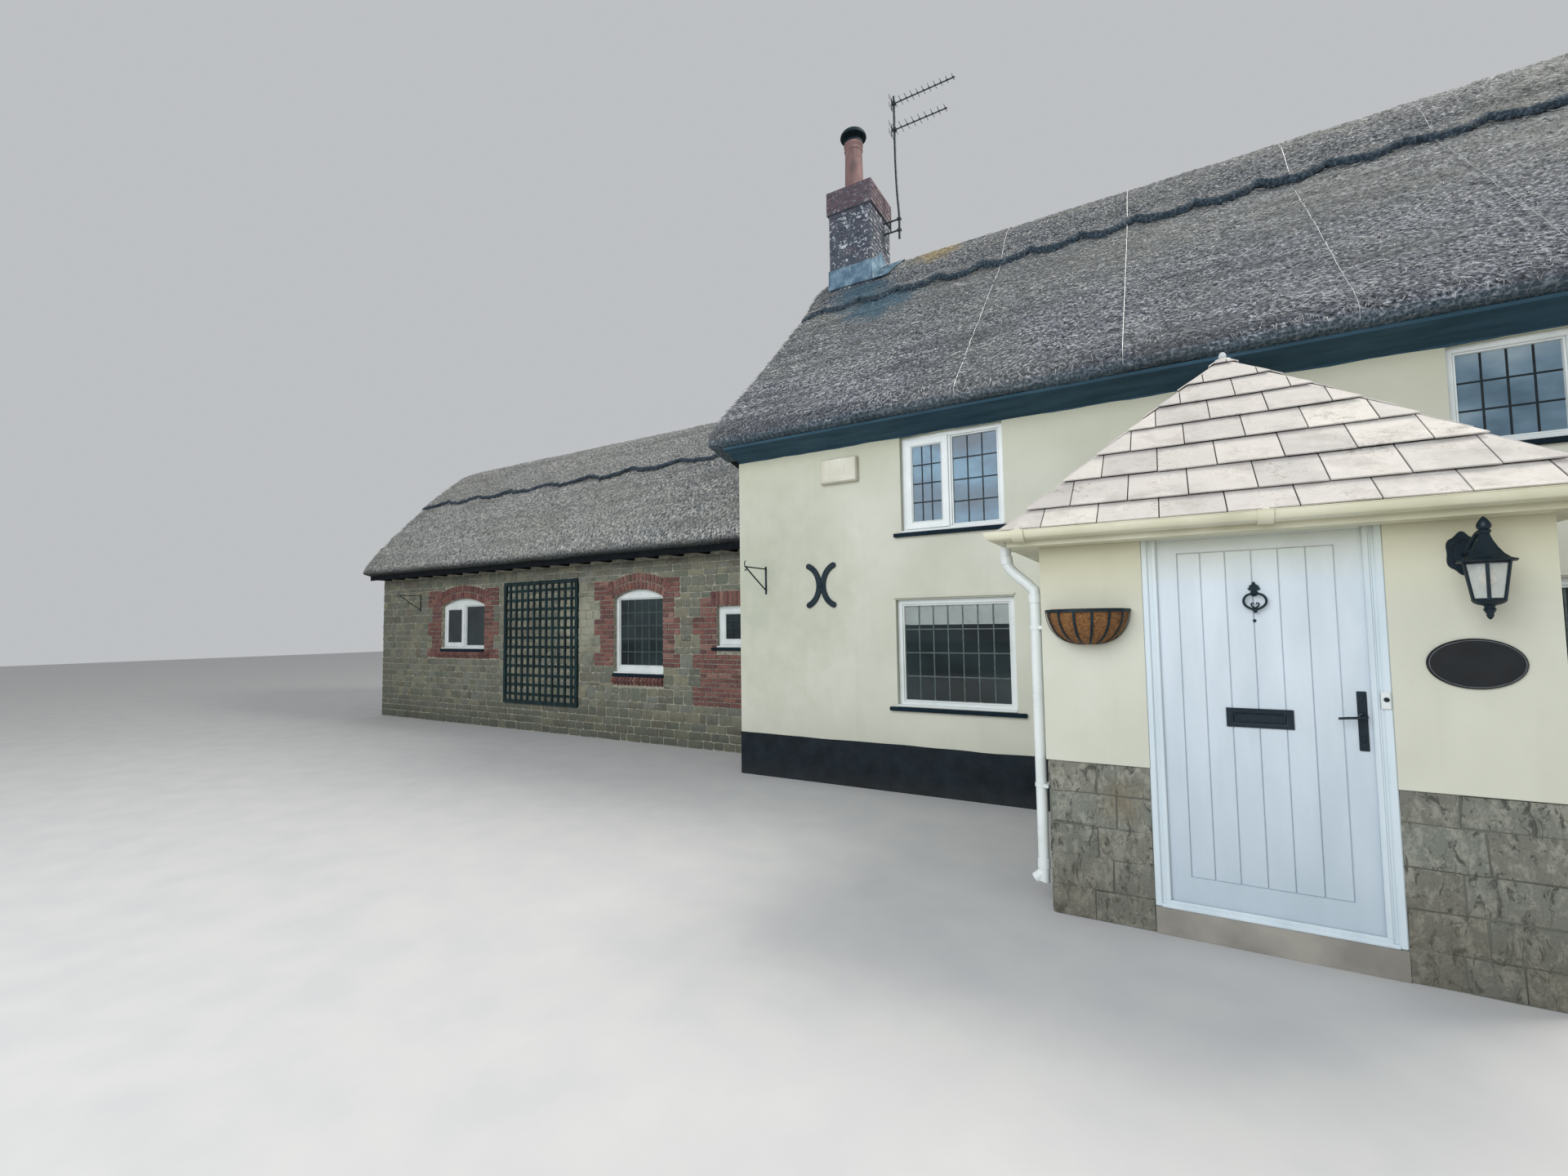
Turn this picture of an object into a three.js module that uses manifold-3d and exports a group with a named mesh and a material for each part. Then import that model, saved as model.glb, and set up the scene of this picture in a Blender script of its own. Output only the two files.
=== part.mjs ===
// Thatched cottage: a rendered two-storey house with a porch, a long stone wing on its left,
// steep thatch over both, a brick chimney and one front door that opens.
// Millimetres, +Z up. The front faces -Y. The origin is under the middle of the house, at ground level.

import * as THREE from 'three';
import { mergeVertices } from 'three/addons/utils/BufferGeometryUtils.js';
import Module from 'manifold-3d';

const wasm = await Module();
wasm.setup();

// Driving dimensions

const GAP = 0.3;                 // left between faces that aren't square to the axes
const FLOOR_TOP = 150;

const HOUSE = {
  halfLength: 5000,
  halfDepth: 2750,
  wall: 350,
  wallTop: 3855,
  upperFloorBottom: 2250,
  upperFloorTop: 2450,
  roofApexInside: 6740,
  roofApex: 7200,
  roofFlank: { y: 2650, z: 4600 },
  eavesY: 3100,
  eavesZ: 3960,
  verge: 250,
};

const WING = {
  left: -15000,
  right: -5000,
  front: -1750,
  back: 2550,
  wall: 450,
  wallTop: 2900,
  roofApexInside: 5070,
  roofApex: 5560,
  eavesOut: 350,
  eavesZ: 2970,
  verge: 200,
};

const RAFTERS = { boardIn: 265, boardOut: 290, bottom: 2850, top: 2928, spacing: 500, halfWidth: 30 };
// Ridge blocks: a scallop is at its longest at x = crest; lifts are the block's height over the thatch at
// its edge, two thirds and one third of the way down, and at the top; it thins out over its last taper
const RIDGE = {
  halfWidth: 670,
  wave: 90,
  waveLength: 610,
  crest: -300,
  lifts: [110, 235, 240, 210],
  taper: 330,
};
const WING_RIDGE = {
  halfWidth: 1260,
  wave: 60,
  waveLength: 1115,
  crest: -7030,
  lifts: [90, 95, 95, 90],
  taper: 250,
};

const STACK = { left: -4840, right: -4140, halfDepth: 400, top: 8630, band: 370, bandOut: 28 };
const POT = { x: -4570, radius: 150, wall: 25, bottom: 8630, top: 9600, sides: 16 };
const COWL = { legOut: 110, legRadius: 9, ringWidth: 40, ringHeight: 35 };
const FLASHING = {
  apron: 435,
  leftOut: 20,
  shoulder: 270,
  tip: 400,
  lead: 25,
  collar: 15,
  frontTop: 7350,
  ridgeTop: 7660,
};

const PORCH = {
  halfWidth: 1124,
  front: -5027,
  wall: 250,
  wallTop: 2330,
  baseTop: 930,
  baseStep: 15,
  eavesX: 1289,
  eavesY: -5197,
  eavesZ: 2370,
  roofDeep: 60,
  apexY: -3458,
  apexZ: 3780,
};

const FASCIA = { soffitZ: 2255, board: 20 };
const GUTTER = { z: 2340, radius: 56, thick: 4 };
const DOWNPIPE = { x: -1174, topX: -1345, y: -4937, outletZ: 2283, neckZ: 1940, shoeZ: 160, radius: 34 };

const DOOR = {
  x: -20,
  halfWidth: 467,
  bottom: 187,
  top: 2255,
  front: -5000,
  thickness: 65,
  clear: 7,
  frameFace: 65,
  frameFront: -5012,
  frameBack: -4942,
  hingeOut: 10,
};

const KNUCKLE = { heights: [430, 1220, 2010], radius: 8, length: 49, reach: 40 };
const HANDLE_PLATE = { halfWidth: 20, z0: 1105, z1: 1408, thick: 8 };
const LEVER = { x: 404, z: 1280, length: 105, hole: 12, spindle: 11.2, radius: 9, out: 50, tail: 5 };
const LETTER_PLATE = { x0: -176, x1: 124, z0: 1193, z1: 1297, thick: 10 };
const KNOCKER = { x: -20, z: 1930, ring: 45, wire: 6, out: 26 };

const FRAME = { recess: 60, depth: 70, member: 55, mullion: 70, glass: 24, sillOut: 40, sillRise: 25 };

const AERIAL = {
  x: -3870,
  y: 150,
  bottom: 7880,
  top: 10250,
  mast: 17,
  rod: 9,
  brackets: [8020, 8200],
  arrays: [
    { z: 10130, from: -3950, to: -2930, rods: 9, rodLength: 300 },
    { z: 9690, from: -3960, to: -3060, rods: 7, rodLength: 420 },
  ],
};

const LANTERN = { x: 835, out: 173, plateX: 805, plateZ: 2090, plateRadius: 60, plateThick: 12 };
const PLAQUE = { x: 824, z: 1558, halfWidth: 175, halfHeight: 121, thick: 18 };
const BASKET = { x: -860, top: 1850 };
const TIE = { x: -3868, z: 2240, halfHeight: 235, spread: 165, waist: 14, width: 56, thick: 18, boss: 30 };
const ALARM_BOX = { x0: -3833, x1: -3375, z0: 3395, z1: 3680, thick: 70 };
const BRACKET = { x: -4620, z0: 2165, z1: 2500, armZ: 2470, out: 460, width: 24, bar: 16 };
const TRELLIS = {
  x0: -10900,
  x1: -8980,
  bottom: 470,
  top: 2630,
  frame: 60,
  lath: 45,
  columns: 12,
  rows: 13,
};

// Windows: the opening's left and right, bottom and top, its arch and how many lights it has

const WINDOWS = {
  groundLeft: { x0: -2970, x1: -1740, z0: 905, z1: 2045, lights: 1 },
  groundRight: { x0: 1740, x1: 2970, z0: 905, z1: 2045, lights: 1 },
  upperLeft: { x0: -2885, x1: -1805, z0: 2760, z1: 3815, lights: 2 },
  upperRight: { x0: 1427, x1: 3260, z0: 3030, z1: 3815, lights: 3 },
  backGroundLeft: { x0: -2970, x1: -1740, z0: 905, z1: 2045, lights: 1 },
  backGroundRight: { x0: 1740, x1: 2970, z0: 905, z1: 2045, lights: 1 },
  backUpperLeft: { x0: -2885, x1: -1805, z0: 2760, z1: 3815, lights: 2 },
  backUpperRight: { x0: 1805, x1: 2885, z0: 2760, z1: 3815, lights: 2 },
  wingLeft: { x0: -12880, x1: -11520, z0: 1420, z1: 2390, rise: 130, lights: 2 },
  wingMiddle: { x0: -8170, x1: -7130, z0: 1060, z1: 2390, rise: 130, lights: 1 },
  wingRight: { x0: -6110, x1: -5510, z0: 1480, z1: 2080, lights: 1 },
  wingBack: { x0: -10700, x1: -9340, z0: 1420, z1: 2390, rise: 130, lights: 2 },
};

// Passages cut through inner walls

const INNER_DOORWAY = { halfWidth: 450, top: 2250 };
const PASSAGE = { y0: 1000, y1: 1900, top: 2150 };

// Materials

const finish = (color, roughness, metalness = 0) => ({ color, roughness, metalness });

const CREAM_RENDER = finish('#dedac6', 0.9);
const STONE = finish('#8b8672', 0.95);
const THATCH = finish('#8f8676', 1.0);
const THATCH_RIDGE = finish('#7f7566', 1.0);
const BRICK = finish('#7a4136', 0.92);
const LEAD = finish('#93a3ae', 0.55, 0.6);
const TERRACOTTA = finish('#b06a4c', 0.85);
const BLACK_PAINT = finish('#1d2127', 0.55);
const BLACK_IRON = finish('#16181b', 0.5, 0.6);
const ALUMINIUM = finish('#a9acae', 0.4, 0.9);
const WHITE_PLASTIC = finish('#eceeed', 0.35);
const CREAM_PLASTIC = finish('#d9d5c2', 0.45);
const SLATE = finish('#b8a9a6', 0.8);
const CONCRETE = finish('#9a968d', 0.95);
const COIR = finish('#6d4d33', 1.0);
const DARK_TIMBER = finish('#24292b', 0.8);
const FLOORBOARDS = finish('#a2794f', 0.7);

const cottage = new THREE.Group();
cottage.name = 'thatched_cottage';

function place(name, geometry, look) {
  const mesh = new THREE.Mesh(geometry, new THREE.MeshStandardMaterial(look));
  mesh.name = name;
  cottage.add(mesh);
  return mesh;
}

// Shape helpers

function box(x0, x1, y0, y1, z0, z1) {
  const geometry = new THREE.BoxGeometry(x1 - x0, y1 - y0, z1 - z0);
  geometry.translate((x0 + x1) / 2, (y0 + y1) / 2, (z0 + z1) / 2);
  return geometry;
}

function outline(points) {
  return new THREE.Shape(points.map(([a, b]) => new THREE.Vector2(a, b)));
}

function extruded(shape, depth) {
  return new THREE.ExtrudeGeometry(shape, { depth, bevelEnabled: false, curveSegments: 10 });
}

function turned(geometry, xAxis, yAxis, zAxis) {
  geometry.applyMatrix4(new THREE.Matrix4().makeBasis(
    new THREE.Vector3(...xAxis),
    new THREE.Vector3(...yAxis),
    new THREE.Vector3(...zAxis),
  ));
  return geometry;
}

// A section drawn in Y and Z, run along X
function alongX(points, x0, x1) {
  const geometry = turned(extruded(outline(points), x1 - x0), [0, 1, 0], [0, 0, 1], [1, 0, 0]);
  geometry.translate(x0, 0, 0);
  return geometry;
}

// A shape drawn in X and Z, run along Y
function alongY(shape, y0, y1) {
  const geometry = turned(extruded(shape, y1 - y0), [1, 0, 0], [0, 0, 1], [0, -1, 0]);
  geometry.translate(0, y1, 0);
  return geometry;
}

function alongZ(shape, z0, z1) {
  const geometry = extruded(shape, z1 - z0);
  geometry.translate(0, 0, z0);
  return geometry;
}

// A round bar between two points
function bar(from, to, radius, sides = 8) {
  const start = new THREE.Vector3(...from);
  const way = new THREE.Vector3(...to).sub(start);
  const geometry = new THREE.CylinderGeometry(radius, radius, way.length(), sides);
  geometry.translate(0, way.length() / 2, 0);
  const turn = new THREE.Quaternion();
  turn.setFromUnitVectors(new THREE.Vector3(0, 1, 0), way.clone().normalize());
  geometry.applyQuaternion(turn);
  geometry.translate(start.x, start.y, start.z);
  return geometry;
}

// A bar of round or flat section along a curve through the points
function rodAlong(points, shape, steps) {
  const knots = points.map((p) => new THREE.Vector3(...p));
  const path = new THREE.CatmullRomCurve3(knots, false, 'centripetal');
  return new THREE.ExtrudeGeometry(shape, { extrudePath: path, steps, curveSegments: 4 });
}

function disc(radius) {
  const shape = new THREE.Shape();
  shape.absarc(0, 0, radius, 0, Math.PI * 2);
  return shape;
}

// A turned piece: its profile lists radius and height
function lathe(profile, segments, x, y) {
  const geometry = new THREE.LatheGeometry(profile.map(([r, z]) => new THREE.Vector2(r, z)), segments);
  turned(geometry, [1, 0, 0], [0, 0, 1], [0, -1, 0]);
  geometry.translate(x, y, 0);
  return geometry;
}

function toSolid(geometry) {
  const bare = geometry.index ? geometry.clone() : geometry;
  bare.deleteAttribute('normal');
  bare.deleteAttribute('uv');
  const merged = mergeVertices(bare, 0.001);
  return new wasm.Manifold(new wasm.Mesh({
    numProp: 3,
    vertProperties: new Float32Array(merged.attributes.position.array),
    triVerts: new Uint32Array(merged.index.array),
  }));
}

function toGeometry(solid) {
  const mesh = solid.getMesh();
  const geometry = new THREE.BufferGeometry();
  geometry.setAttribute('position', new THREE.BufferAttribute(new Float32Array(mesh.vertProperties), 3));
  geometry.setIndex(new THREE.BufferAttribute(new Uint32Array(mesh.triVerts), 1));
  return geometry;
}

function join(...geometries) {
  return toGeometry(geometries.map(toSolid).reduce((sum, next) => sum.add(next)));
}

function cut(body, ...cutters) {
  return toGeometry(cutters.map(toSolid).reduce((rest, next) => rest.subtract(next), toSolid(body)));
}

function common(body, other) {
  return toGeometry(toSolid(body).intersect(toSolid(other)));
}

function endFace(points) {
  return THREE.ShapeUtils.triangulateShape(points.map(([a, b]) => new THREE.Vector2(a, b)), []);
}

// A closed skin over matching sections, each a list of [y, z] at its own x
function lofted(sections) {
  const count = sections[0].points.length;
  const positions = sections.flatMap(({ x, points }) => points.flatMap(([y, z]) => [x, y, z]));
  const index = [];
  for (let s = 0; s < sections.length - 1; s += 1) {
    for (let i = 0; i < count; i += 1) {
      const a = s * count + i;
      const b = s * count + (i + 1) % count;
      index.push(a, b, b + count, a, b + count, a + count);
    }
  }
  const face = endFace(sections[0].points);
  const last = (sections.length - 1) * count;
  face.forEach(([a, b, c]) => {
    index.push(a, c, b);
    index.push(last + a, last + b, last + c);
  });
  const geometry = new THREE.BufferGeometry();
  geometry.setAttribute('position', new THREE.Float32BufferAttribute(positions, 3));
  geometry.setIndex(index);
  return geometry;
}

// A section of [out, up] swept round a plan line with mitred corners; out is to the line's right
function mitred(section, line) {
  const ways = line.slice(1).map(([x, y], i) => (
    new THREE.Vector2(x - line[i][0], y - line[i][1]).normalize()
  ));
  const rings = line.map((p, i) => {
    const before = ways[Math.max(i - 1, 0)];
    const after = ways[Math.min(i, ways.length - 1)];
    const right = new THREE.Vector2(before.y + after.y, -before.x - after.x).normalize();
    const stretch = 1 / right.dot(new THREE.Vector2(before.y, -before.x));
    right.multiplyScalar(stretch);
    return section.flatMap(([out, up]) => [p[0] + right.x * out, p[1] + right.y * out, up]);
  });
  const count = section.length;
  const index = [];
  for (let s = 0; s < rings.length - 1; s += 1) {
    for (let i = 0; i < count; i += 1) {
      const a = s * count + i;
      const b = s * count + (i + 1) % count;
      index.push(a, b + count, b, a, a + count, b + count);
    }
  }
  const face = endFace(section);
  const last = (rings.length - 1) * count;
  face.forEach(([a, b, c]) => {
    index.push(a, b, c);
    index.push(last + a, last + c, last + b);
  });
  const geometry = new THREE.BufferGeometry();
  geometry.setAttribute('position', new THREE.Float32BufferAttribute(rings.flat(), 3));
  geometry.setIndex(index);
  return geometry;
}

// Windows and their openings

function openingShape({ x0, x1, z0, z1, rise = 0 }, grow = 0) {
  const shape = new THREE.Shape();
  shape.moveTo(x0 - grow, z0 - grow);
  shape.lineTo(x1 + grow, z0 - grow);
  shape.lineTo(x1 + grow, z1 - rise + grow);
  if (rise > 0) {
    const half = (x1 - x0) / 2 + grow;
    const radius = (half * half + rise * rise) / (2 * rise);
    const spread = Math.asin(half / radius);
    shape.absarc((x0 + x1) / 2, z1 + grow - radius, radius, Math.PI / 2 - spread, Math.PI / 2 + spread);
  } else {
    shape.lineTo(x0 - grow, z1 + grow);
  }
  shape.closePath();
  return shape;
}

function holes(names, y0, y1) {
  return names.map((name) => alongY(openingShape(WINDOWS[name]), y0, y1));
}

// A frame with its glass and a thin sill; faceY is the wall's outer face, out is -1 at the front
function windowUnit(name, opening, faceY, out) {
  const outer = faceY - out * FRAME.recess;
  const inner = outer - out * FRAME.depth;
  const y0 = Math.min(outer, inner);
  const y1 = Math.max(outer, inner);
  const rise = opening.rise || 0;
  const grow = rise ? -GAP : 0;
  const { lights } = opening;
  const clear = opening.x1 - opening.x0 - 2 * FRAME.member - (lights - 1) * FRAME.mullion;
  const width = clear / lights;
  const bottom = opening.z0 + FRAME.member;
  const top = opening.z1 - rise - FRAME.member;
  const cutters = [];
  for (let i = 0; i < lights; i += 1) {
    const left = opening.x0 + FRAME.member + i * (width + FRAME.mullion);
    cutters.push(box(left, left + width, y0 - 1, (y0 + y1 - FRAME.glass) / 2, bottom, top));
    cutters.push(box(left, left + width, (y0 + y1 + FRAME.glass) / 2, y1 + 1, bottom, top));
  }
  const frame = cut(alongY(openingShape(opening, grow), y0, y1), ...cutters);
  const sillOut = faceY + out * FRAME.sillOut;
  const sill = box(
    opening.x0,
    opening.x1,
    Math.min(sillOut, inner),
    Math.max(sillOut, inner),
    opening.z0 - grow,
    opening.z0 + FRAME.sillRise,
  );
  place(name, join(frame, sill), WHITE_PLASTIC);
}

// Thatch outlines: the top surface of one slope as [distance from the ridge, height]

function houseSlope(inset) {
  return [
    [HOUSE.eavesY - 0.3 * inset, HOUSE.eavesZ],
    [HOUSE.eavesY + 45 - inset, HOUSE.eavesZ + 80],
    [HOUSE.eavesY - 40 - inset, HOUSE.eavesZ + 230 - 0.3 * inset],
    [HOUSE.roofFlank.y, HOUSE.roofFlank.z - inset],
    [0, HOUSE.roofApex - inset],
  ];
}

function wingSlope(inset) {
  const half = (WING.back - WING.front) / 2 + WING.eavesOut;
  return [
    [half - 0.3 * inset, WING.eavesZ],
    [half + 40 - inset, WING.eavesZ + 75],
    [half - 40 - inset, WING.eavesZ + 230 - 0.3 * inset],
    [half - 200, WING.eavesZ + 440 - inset],
    [1250, 4580 - inset],
    [400, 5330 - inset],
    [0, WING.roofApex - inset],
  ];
}

function thatchSection(slope, ridgeY, inside) {
  const left = slope.map(([d, z]) => [ridgeY - d, z]);
  const right = slope.slice(0, -1).reverse().map(([d, z]) => [ridgeY + d, z]);
  return [...left, ...right, ...inside].reverse();
}

// Rounded verges: the section shrinks over the last few centimetres of each end
function thatch(slopeAt, ridgeY, inside, x0, x1, rounded) {
  const step = (x, inset) => ({ x, points: thatchSection(slopeAt(inset), ridgeY, inside) });
  const sections = [step(x0, 90), step(x0 + 30, 35), step(x0 + 120, 0)];
  if (rounded === 'both') {
    sections.push(step(x1 - 120, 0), step(x1 - 30, 35), step(x1, 90));
  } else {
    sections.push(step(x1, 0));
  }
  return lofted(sections);
}

// Height of a slope at a distance from its ridge
function slopeHeight(slope, distance) {
  const next = slope.findIndex(([d]) => d <= distance);
  const [d1, z1] = slope[next];
  const [d0, z0] = slope[next - 1];
  return z0 + (z1 - z0) * (d0 - distance) / (d0 - d1);
}

// The top of a ridge block from its edge to the ridge, as [distance from the ridge, height]
function ridgeTop(slope, size, scale = 1) {
  const reach = size.halfWidth + size.wave + 50;
  return size.lifts.map((lift, i) => {
    const d = reach * (1 - i / (size.lifts.length - 1));
    return [d, slopeHeight(slope, d) + lift * scale];
  });
}

// A ridge block that follows the slope, with a scalloped lower edge
function ridgeCap(slope, ridgeY, size, x0, x1, roundedRight) {
  const reach = size.halfWidth + size.wave + 50;
  const knots = [reach, ...slope.map(([d]) => d).filter((d) => d < reach)];
  const under = knots.map((d) => [d, slopeHeight(slope, d) + GAP]);
  const section = (x, scale) => {
    const over = ridgeTop(slope, size, scale);
    const points = [
      ...under.map(([d, z]) => [ridgeY - d, z]),
      ...under.slice(0, -1).reverse().map(([d, z]) => [ridgeY + d, z]),
      ...over.slice(0, -1).map(([d, z]) => [ridgeY + d, z]),
      ...over.slice().reverse().map(([d, z]) => [ridgeY - d, z]),
    ];
    return { x, points };
  };
  const thin = 0.35;
  const sections = [section(x0, thin), section(x0 + size.taper, 1)];
  if (roundedRight) {
    sections.push(section(x1 - size.taper, 1), section(x1, thin));
  } else {
    sections.push(section(x1, 1));
  }
  const plan = new THREE.Shape();
  const steps = Math.round((x1 - x0) / (size.waveLength / 8));
  const turn = 2 * Math.PI / size.waveLength;
  const edge = (x) => size.halfWidth + size.wave * Math.cos((x - size.crest) * turn);
  for (let i = 0; i <= steps; i += 1) {
    const x = x0 + (x1 - x0) * i / steps;
    plan[i === 0 ? 'moveTo' : 'lineTo'](x, ridgeY - edge(x));
  }
  for (let i = steps; i >= 0; i -= 1) {
    const x = x0 + (x1 - x0) * i / steps;
    plan.lineTo(x, ridgeY + edge(x));
  }
  return common(lofted(sections), alongZ(plan, 3000, 9000));
}

// The space that the stack takes up where it passes through thatch and lead
function stackSpace() {
  const { left, right, halfDepth } = STACK;
  return box(left - GAP, right + GAP, -halfDepth - GAP, halfDepth + GAP, 5000, 8000);
}

// House walls and floors

const frontFace = -HOUSE.halfDepth;
const frontInner = frontFace + HOUSE.wall;
const inside = { x: HOUSE.halfLength - HOUSE.wall, y: HOUSE.halfDepth - HOUSE.wall };

function gableOutline(halfWidth, centre, wallTop, apex) {
  return [
    [centre - halfWidth, 0],
    [centre + halfWidth, 0],
    [centre + halfWidth, wallTop],
    [centre, apex],
    [centre - halfWidth, wallTop],
  ];
}

function buildHouseWalls() {
  const stackHole = box(STACK.left, STACK.right, -STACK.halfDepth, STACK.halfDepth, -1, STACK.top);
  place(
    'main_floor',
    cut(
      box(-inside.x, inside.x, -inside.y, inside.y, 0, FLOOR_TOP),
      stackHole,
    ),
    CONCRETE,
  );
  place(
    'upper_floor',
    cut(
      box(-inside.x, inside.x, -inside.y, inside.y, HOUSE.upperFloorBottom, HOUSE.upperFloorTop),
      stackHole,
    ),
    FLOORBOARDS,
  );
  const half = INNER_DOORWAY.halfWidth;
  const end = HOUSE.halfLength;
  const top = HOUSE.wallTop;
  place(
    'front_wall_left',
    cut(
      box(-end, -half, frontFace, frontInner, 0, top),
      ...holes(['groundLeft', 'upperLeft'], frontFace - 1, frontInner + 1),
    ),
    CREAM_RENDER,
  );
  place(
    'front_wall_right',
    cut(
      box(half, end, frontFace, frontInner, 0, top),
      ...holes(['groundRight', 'upperRight'], frontFace - 1, frontInner + 1),
    ),
    CREAM_RENDER,
  );
  const overDoor = box(-half, half, frontFace, frontInner, INNER_DOORWAY.top, top);
  place('front_wall_over_door', overDoor, CREAM_RENDER);
  place(
    'back_wall',
    cut(
      box(-end, end, -frontInner, -frontFace, 0, top),
      ...holes(
        ['backGroundLeft', 'backGroundRight', 'backUpperLeft', 'backUpperRight'],
        -frontInner - 1,
        -frontFace + 1,
      ),
    ),
    CREAM_RENDER,
  );
  const gable = gableOutline(inside.y, 0, top, HOUSE.roofApexInside - 5);
  place(
    'left_gable_wall',
    cut(
      alongX(gable, -end, -inside.x),
      stackHole,
      box(-end - 1, -inside.x + 1, PASSAGE.y0, PASSAGE.y1, FLOOR_TOP, PASSAGE.top),
    ),
    CREAM_RENDER,
  );
  place('right_gable_wall', alongX(gable, inside.x, end), CREAM_RENDER);
}

// Chimney and what stands on it

function buildChimney() {
  const { left, right, halfDepth, top, band, bandOut } = STACK;
  place(
    'chimney',
    join(
      box(left, right, -halfDepth, halfDepth, 0, top),
      box(left - bandOut, right + bandOut, -halfDepth - bandOut, halfDepth + bandOut, top - band, top),
    ),
    BRICK,
  );

  // Lead round the foot of the stack, dressed down over the ridge block and out to a point on the right
  const { apron, leftOut, shoulder, tip, lead, collar, frontTop, ridgeTop: sideTop } = FLASHING;
  const blockTop = ridgeTop(houseSlope(0), RIDGE);
  const knots = [apron, ...blockTop.map(([d]) => d).filter((d) => d < apron)];
  const blockLine = (lift) => [
    ...knots.map((d) => [-d, slopeHeight(blockTop, d) + lift]),
    ...knots.slice(0, -1).reverse().map((d) => [d, slopeHeight(blockTop, d) + lift]),
  ];
  const saddle = alongX(
    [...blockLine(lead).reverse(), ...blockLine(GAP)],
    left - leftOut,
    right + tip,
  );
  const plan = new THREE.Shape();
  plan.moveTo(left - leftOut, -apron);
  plan.lineTo(right + shoulder, -apron);
  plan.lineTo(right + tip, 0);
  plan.lineTo(right + shoulder, apron);
  plan.lineTo(left - leftOut, apron);
  plan.closePath();
  const out = halfDepth + collar;
  const upstand = alongX(
    [
      [-out, slopeHeight(blockTop, out)],
      [out, slopeHeight(blockTop, out)],
      [out, frontTop],
      [0, sideTop],
      [-out, frontTop],
    ],
    left - collar,
    right + collar,
  );
  const blockBody = alongX(
    [[-apron, HOUSE.roofFlank.z], [apron, HOUSE.roofFlank.z], ...blockLine(GAP).reverse()],
    left - tip,
    right + 2 * tip,
  );
  const dressed = join(common(saddle, alongZ(plan, 3000, 9000)), upstand);
  place('chimney_flashing', cut(dressed, blockBody, stackSpace()), LEAD);

  const { x, radius, wall, bottom } = POT;
  place(
    'chimney_pot',
    lathe(
      [
        [radius - wall, bottom],
        [radius + 20, bottom],
        [radius + 20, bottom + 60],
        [radius, bottom + 90],
        [radius - 8, POT.top - 110],
        [radius + 12, POT.top - 90],
        [radius + 12, POT.top],
        [radius - wall, POT.top],
        [radius - wall, bottom],
      ],
      POT.sides,
      x,
      0,
    ),
    TERRACOTTA,
  );
  const { legOut, legRadius, ringWidth, ringHeight } = COWL;
  const legs = [0, 1, 2, 3].map((i) => {
    const angle = Math.PI / 4 + i * Math.PI / 2;
    const legX = x + legOut * Math.cos(angle);
    const legY = legOut * Math.sin(angle);
    return bar([legX, legY, POT.top + 30], [legX, legY, POT.top + 170], legRadius, 6);
  });
  const ringInner = radius - wall - ringWidth;
  const ring = lathe(
    [
      [ringInner, POT.top + GAP],
      [radius + 5, POT.top + GAP],
      [radius + 5, POT.top + ringHeight],
      [ringInner, POT.top + ringHeight],
      [ringInner, POT.top + GAP],
    ],
    POT.sides,
    x,
    0,
  );
  const dome = lathe(
    [
      [0, POT.top + 150],
      [radius + 25, POT.top + 130],
      [radius + 20, POT.top + 165],
      [radius - 30, POT.top + 235],
      [radius - 90, POT.top + 275],
      [0, POT.top + 290],
    ],
    POT.sides,
    x,
    0,
  );
  place('chimney_cowl', join(dome, ring, ...legs), BLACK_IRON);
}

function buildAerial() {
  const { x, y, rod } = AERIAL;
  const face = STACK.right + GAP;
  const brackets = AERIAL.brackets.map((z) => join(
    bar([face + 4, y, z], [x, y, z], rod, 6),
    box(face, face + 8, y - 60, y + 60, z - 20, z + 20),
  ));
  const arrays = AERIAL.arrays.map(({ z, from, to, rods, rodLength }) => {
    const pieces = [bar([from, y, z], [to, y, z], rod, 6)];
    for (let i = 0; i < rods; i += 1) {
      const at = from + 25 + (to - from - 50) * i / (rods - 1);
      const half = rodLength / 2 * (1 - 0.25 * i / rods);
      pieces.push(box(at - 4, at + 4, y - half, y + half, z + 2, z + 10));
    }
    pieces.push(box(from - 8, from, y - 120, y + 120, z - 110, z + 110));
    return join(...pieces);
  });
  const mast = bar([x, y, AERIAL.bottom], [x, y, AERIAL.top], AERIAL.mast);
  place('tv_aerial', join(mast, ...brackets, ...arrays), ALUMINIUM);
}

// Thatch over the house

function buildHouseRoof() {
  const end = HOUSE.halfLength + HOUSE.verge;
  const wallTop = HOUSE.wallTop + GAP;
  const under = [
    [HOUSE.halfDepth, wallTop],
    [inside.y, wallTop],
    [0, HOUSE.roofApexInside],
    [-inside.y, wallTop],
    [-HOUSE.halfDepth, wallTop],
  ];
  const body = thatch(houseSlope, 0, under, -end, end, 'both');
  place('main_thatch', cut(body, stackSpace()), THATCH);
  const block = ridgeCap(houseSlope(0), 0, RIDGE, -end + 60, end - 60, true);
  place('main_ridge', cut(block, stackSpace()), THATCH_RIDGE);
  ['front', 'back'].forEach((side, i) => {
    const out = i === 0 ? -1 : 1;
    const face = HOUSE.halfDepth + GAP;
    const points = [
      [out * (HOUSE.eavesY - 30), HOUSE.eavesZ - 42],
      [out * face, HOUSE.wallTop - 33],
      [out * face, HOUSE.wallTop - 3],
      [out * (HOUSE.eavesY - 30), HOUSE.eavesZ - 12],
    ];
    const board = alongX(out < 0 ? points : points.reverse(), -HOUSE.halfLength, HOUSE.halfLength);
    place(`${side}_eaves_board`, board, BLACK_PAINT);
  });
}

// The stone wing

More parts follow.
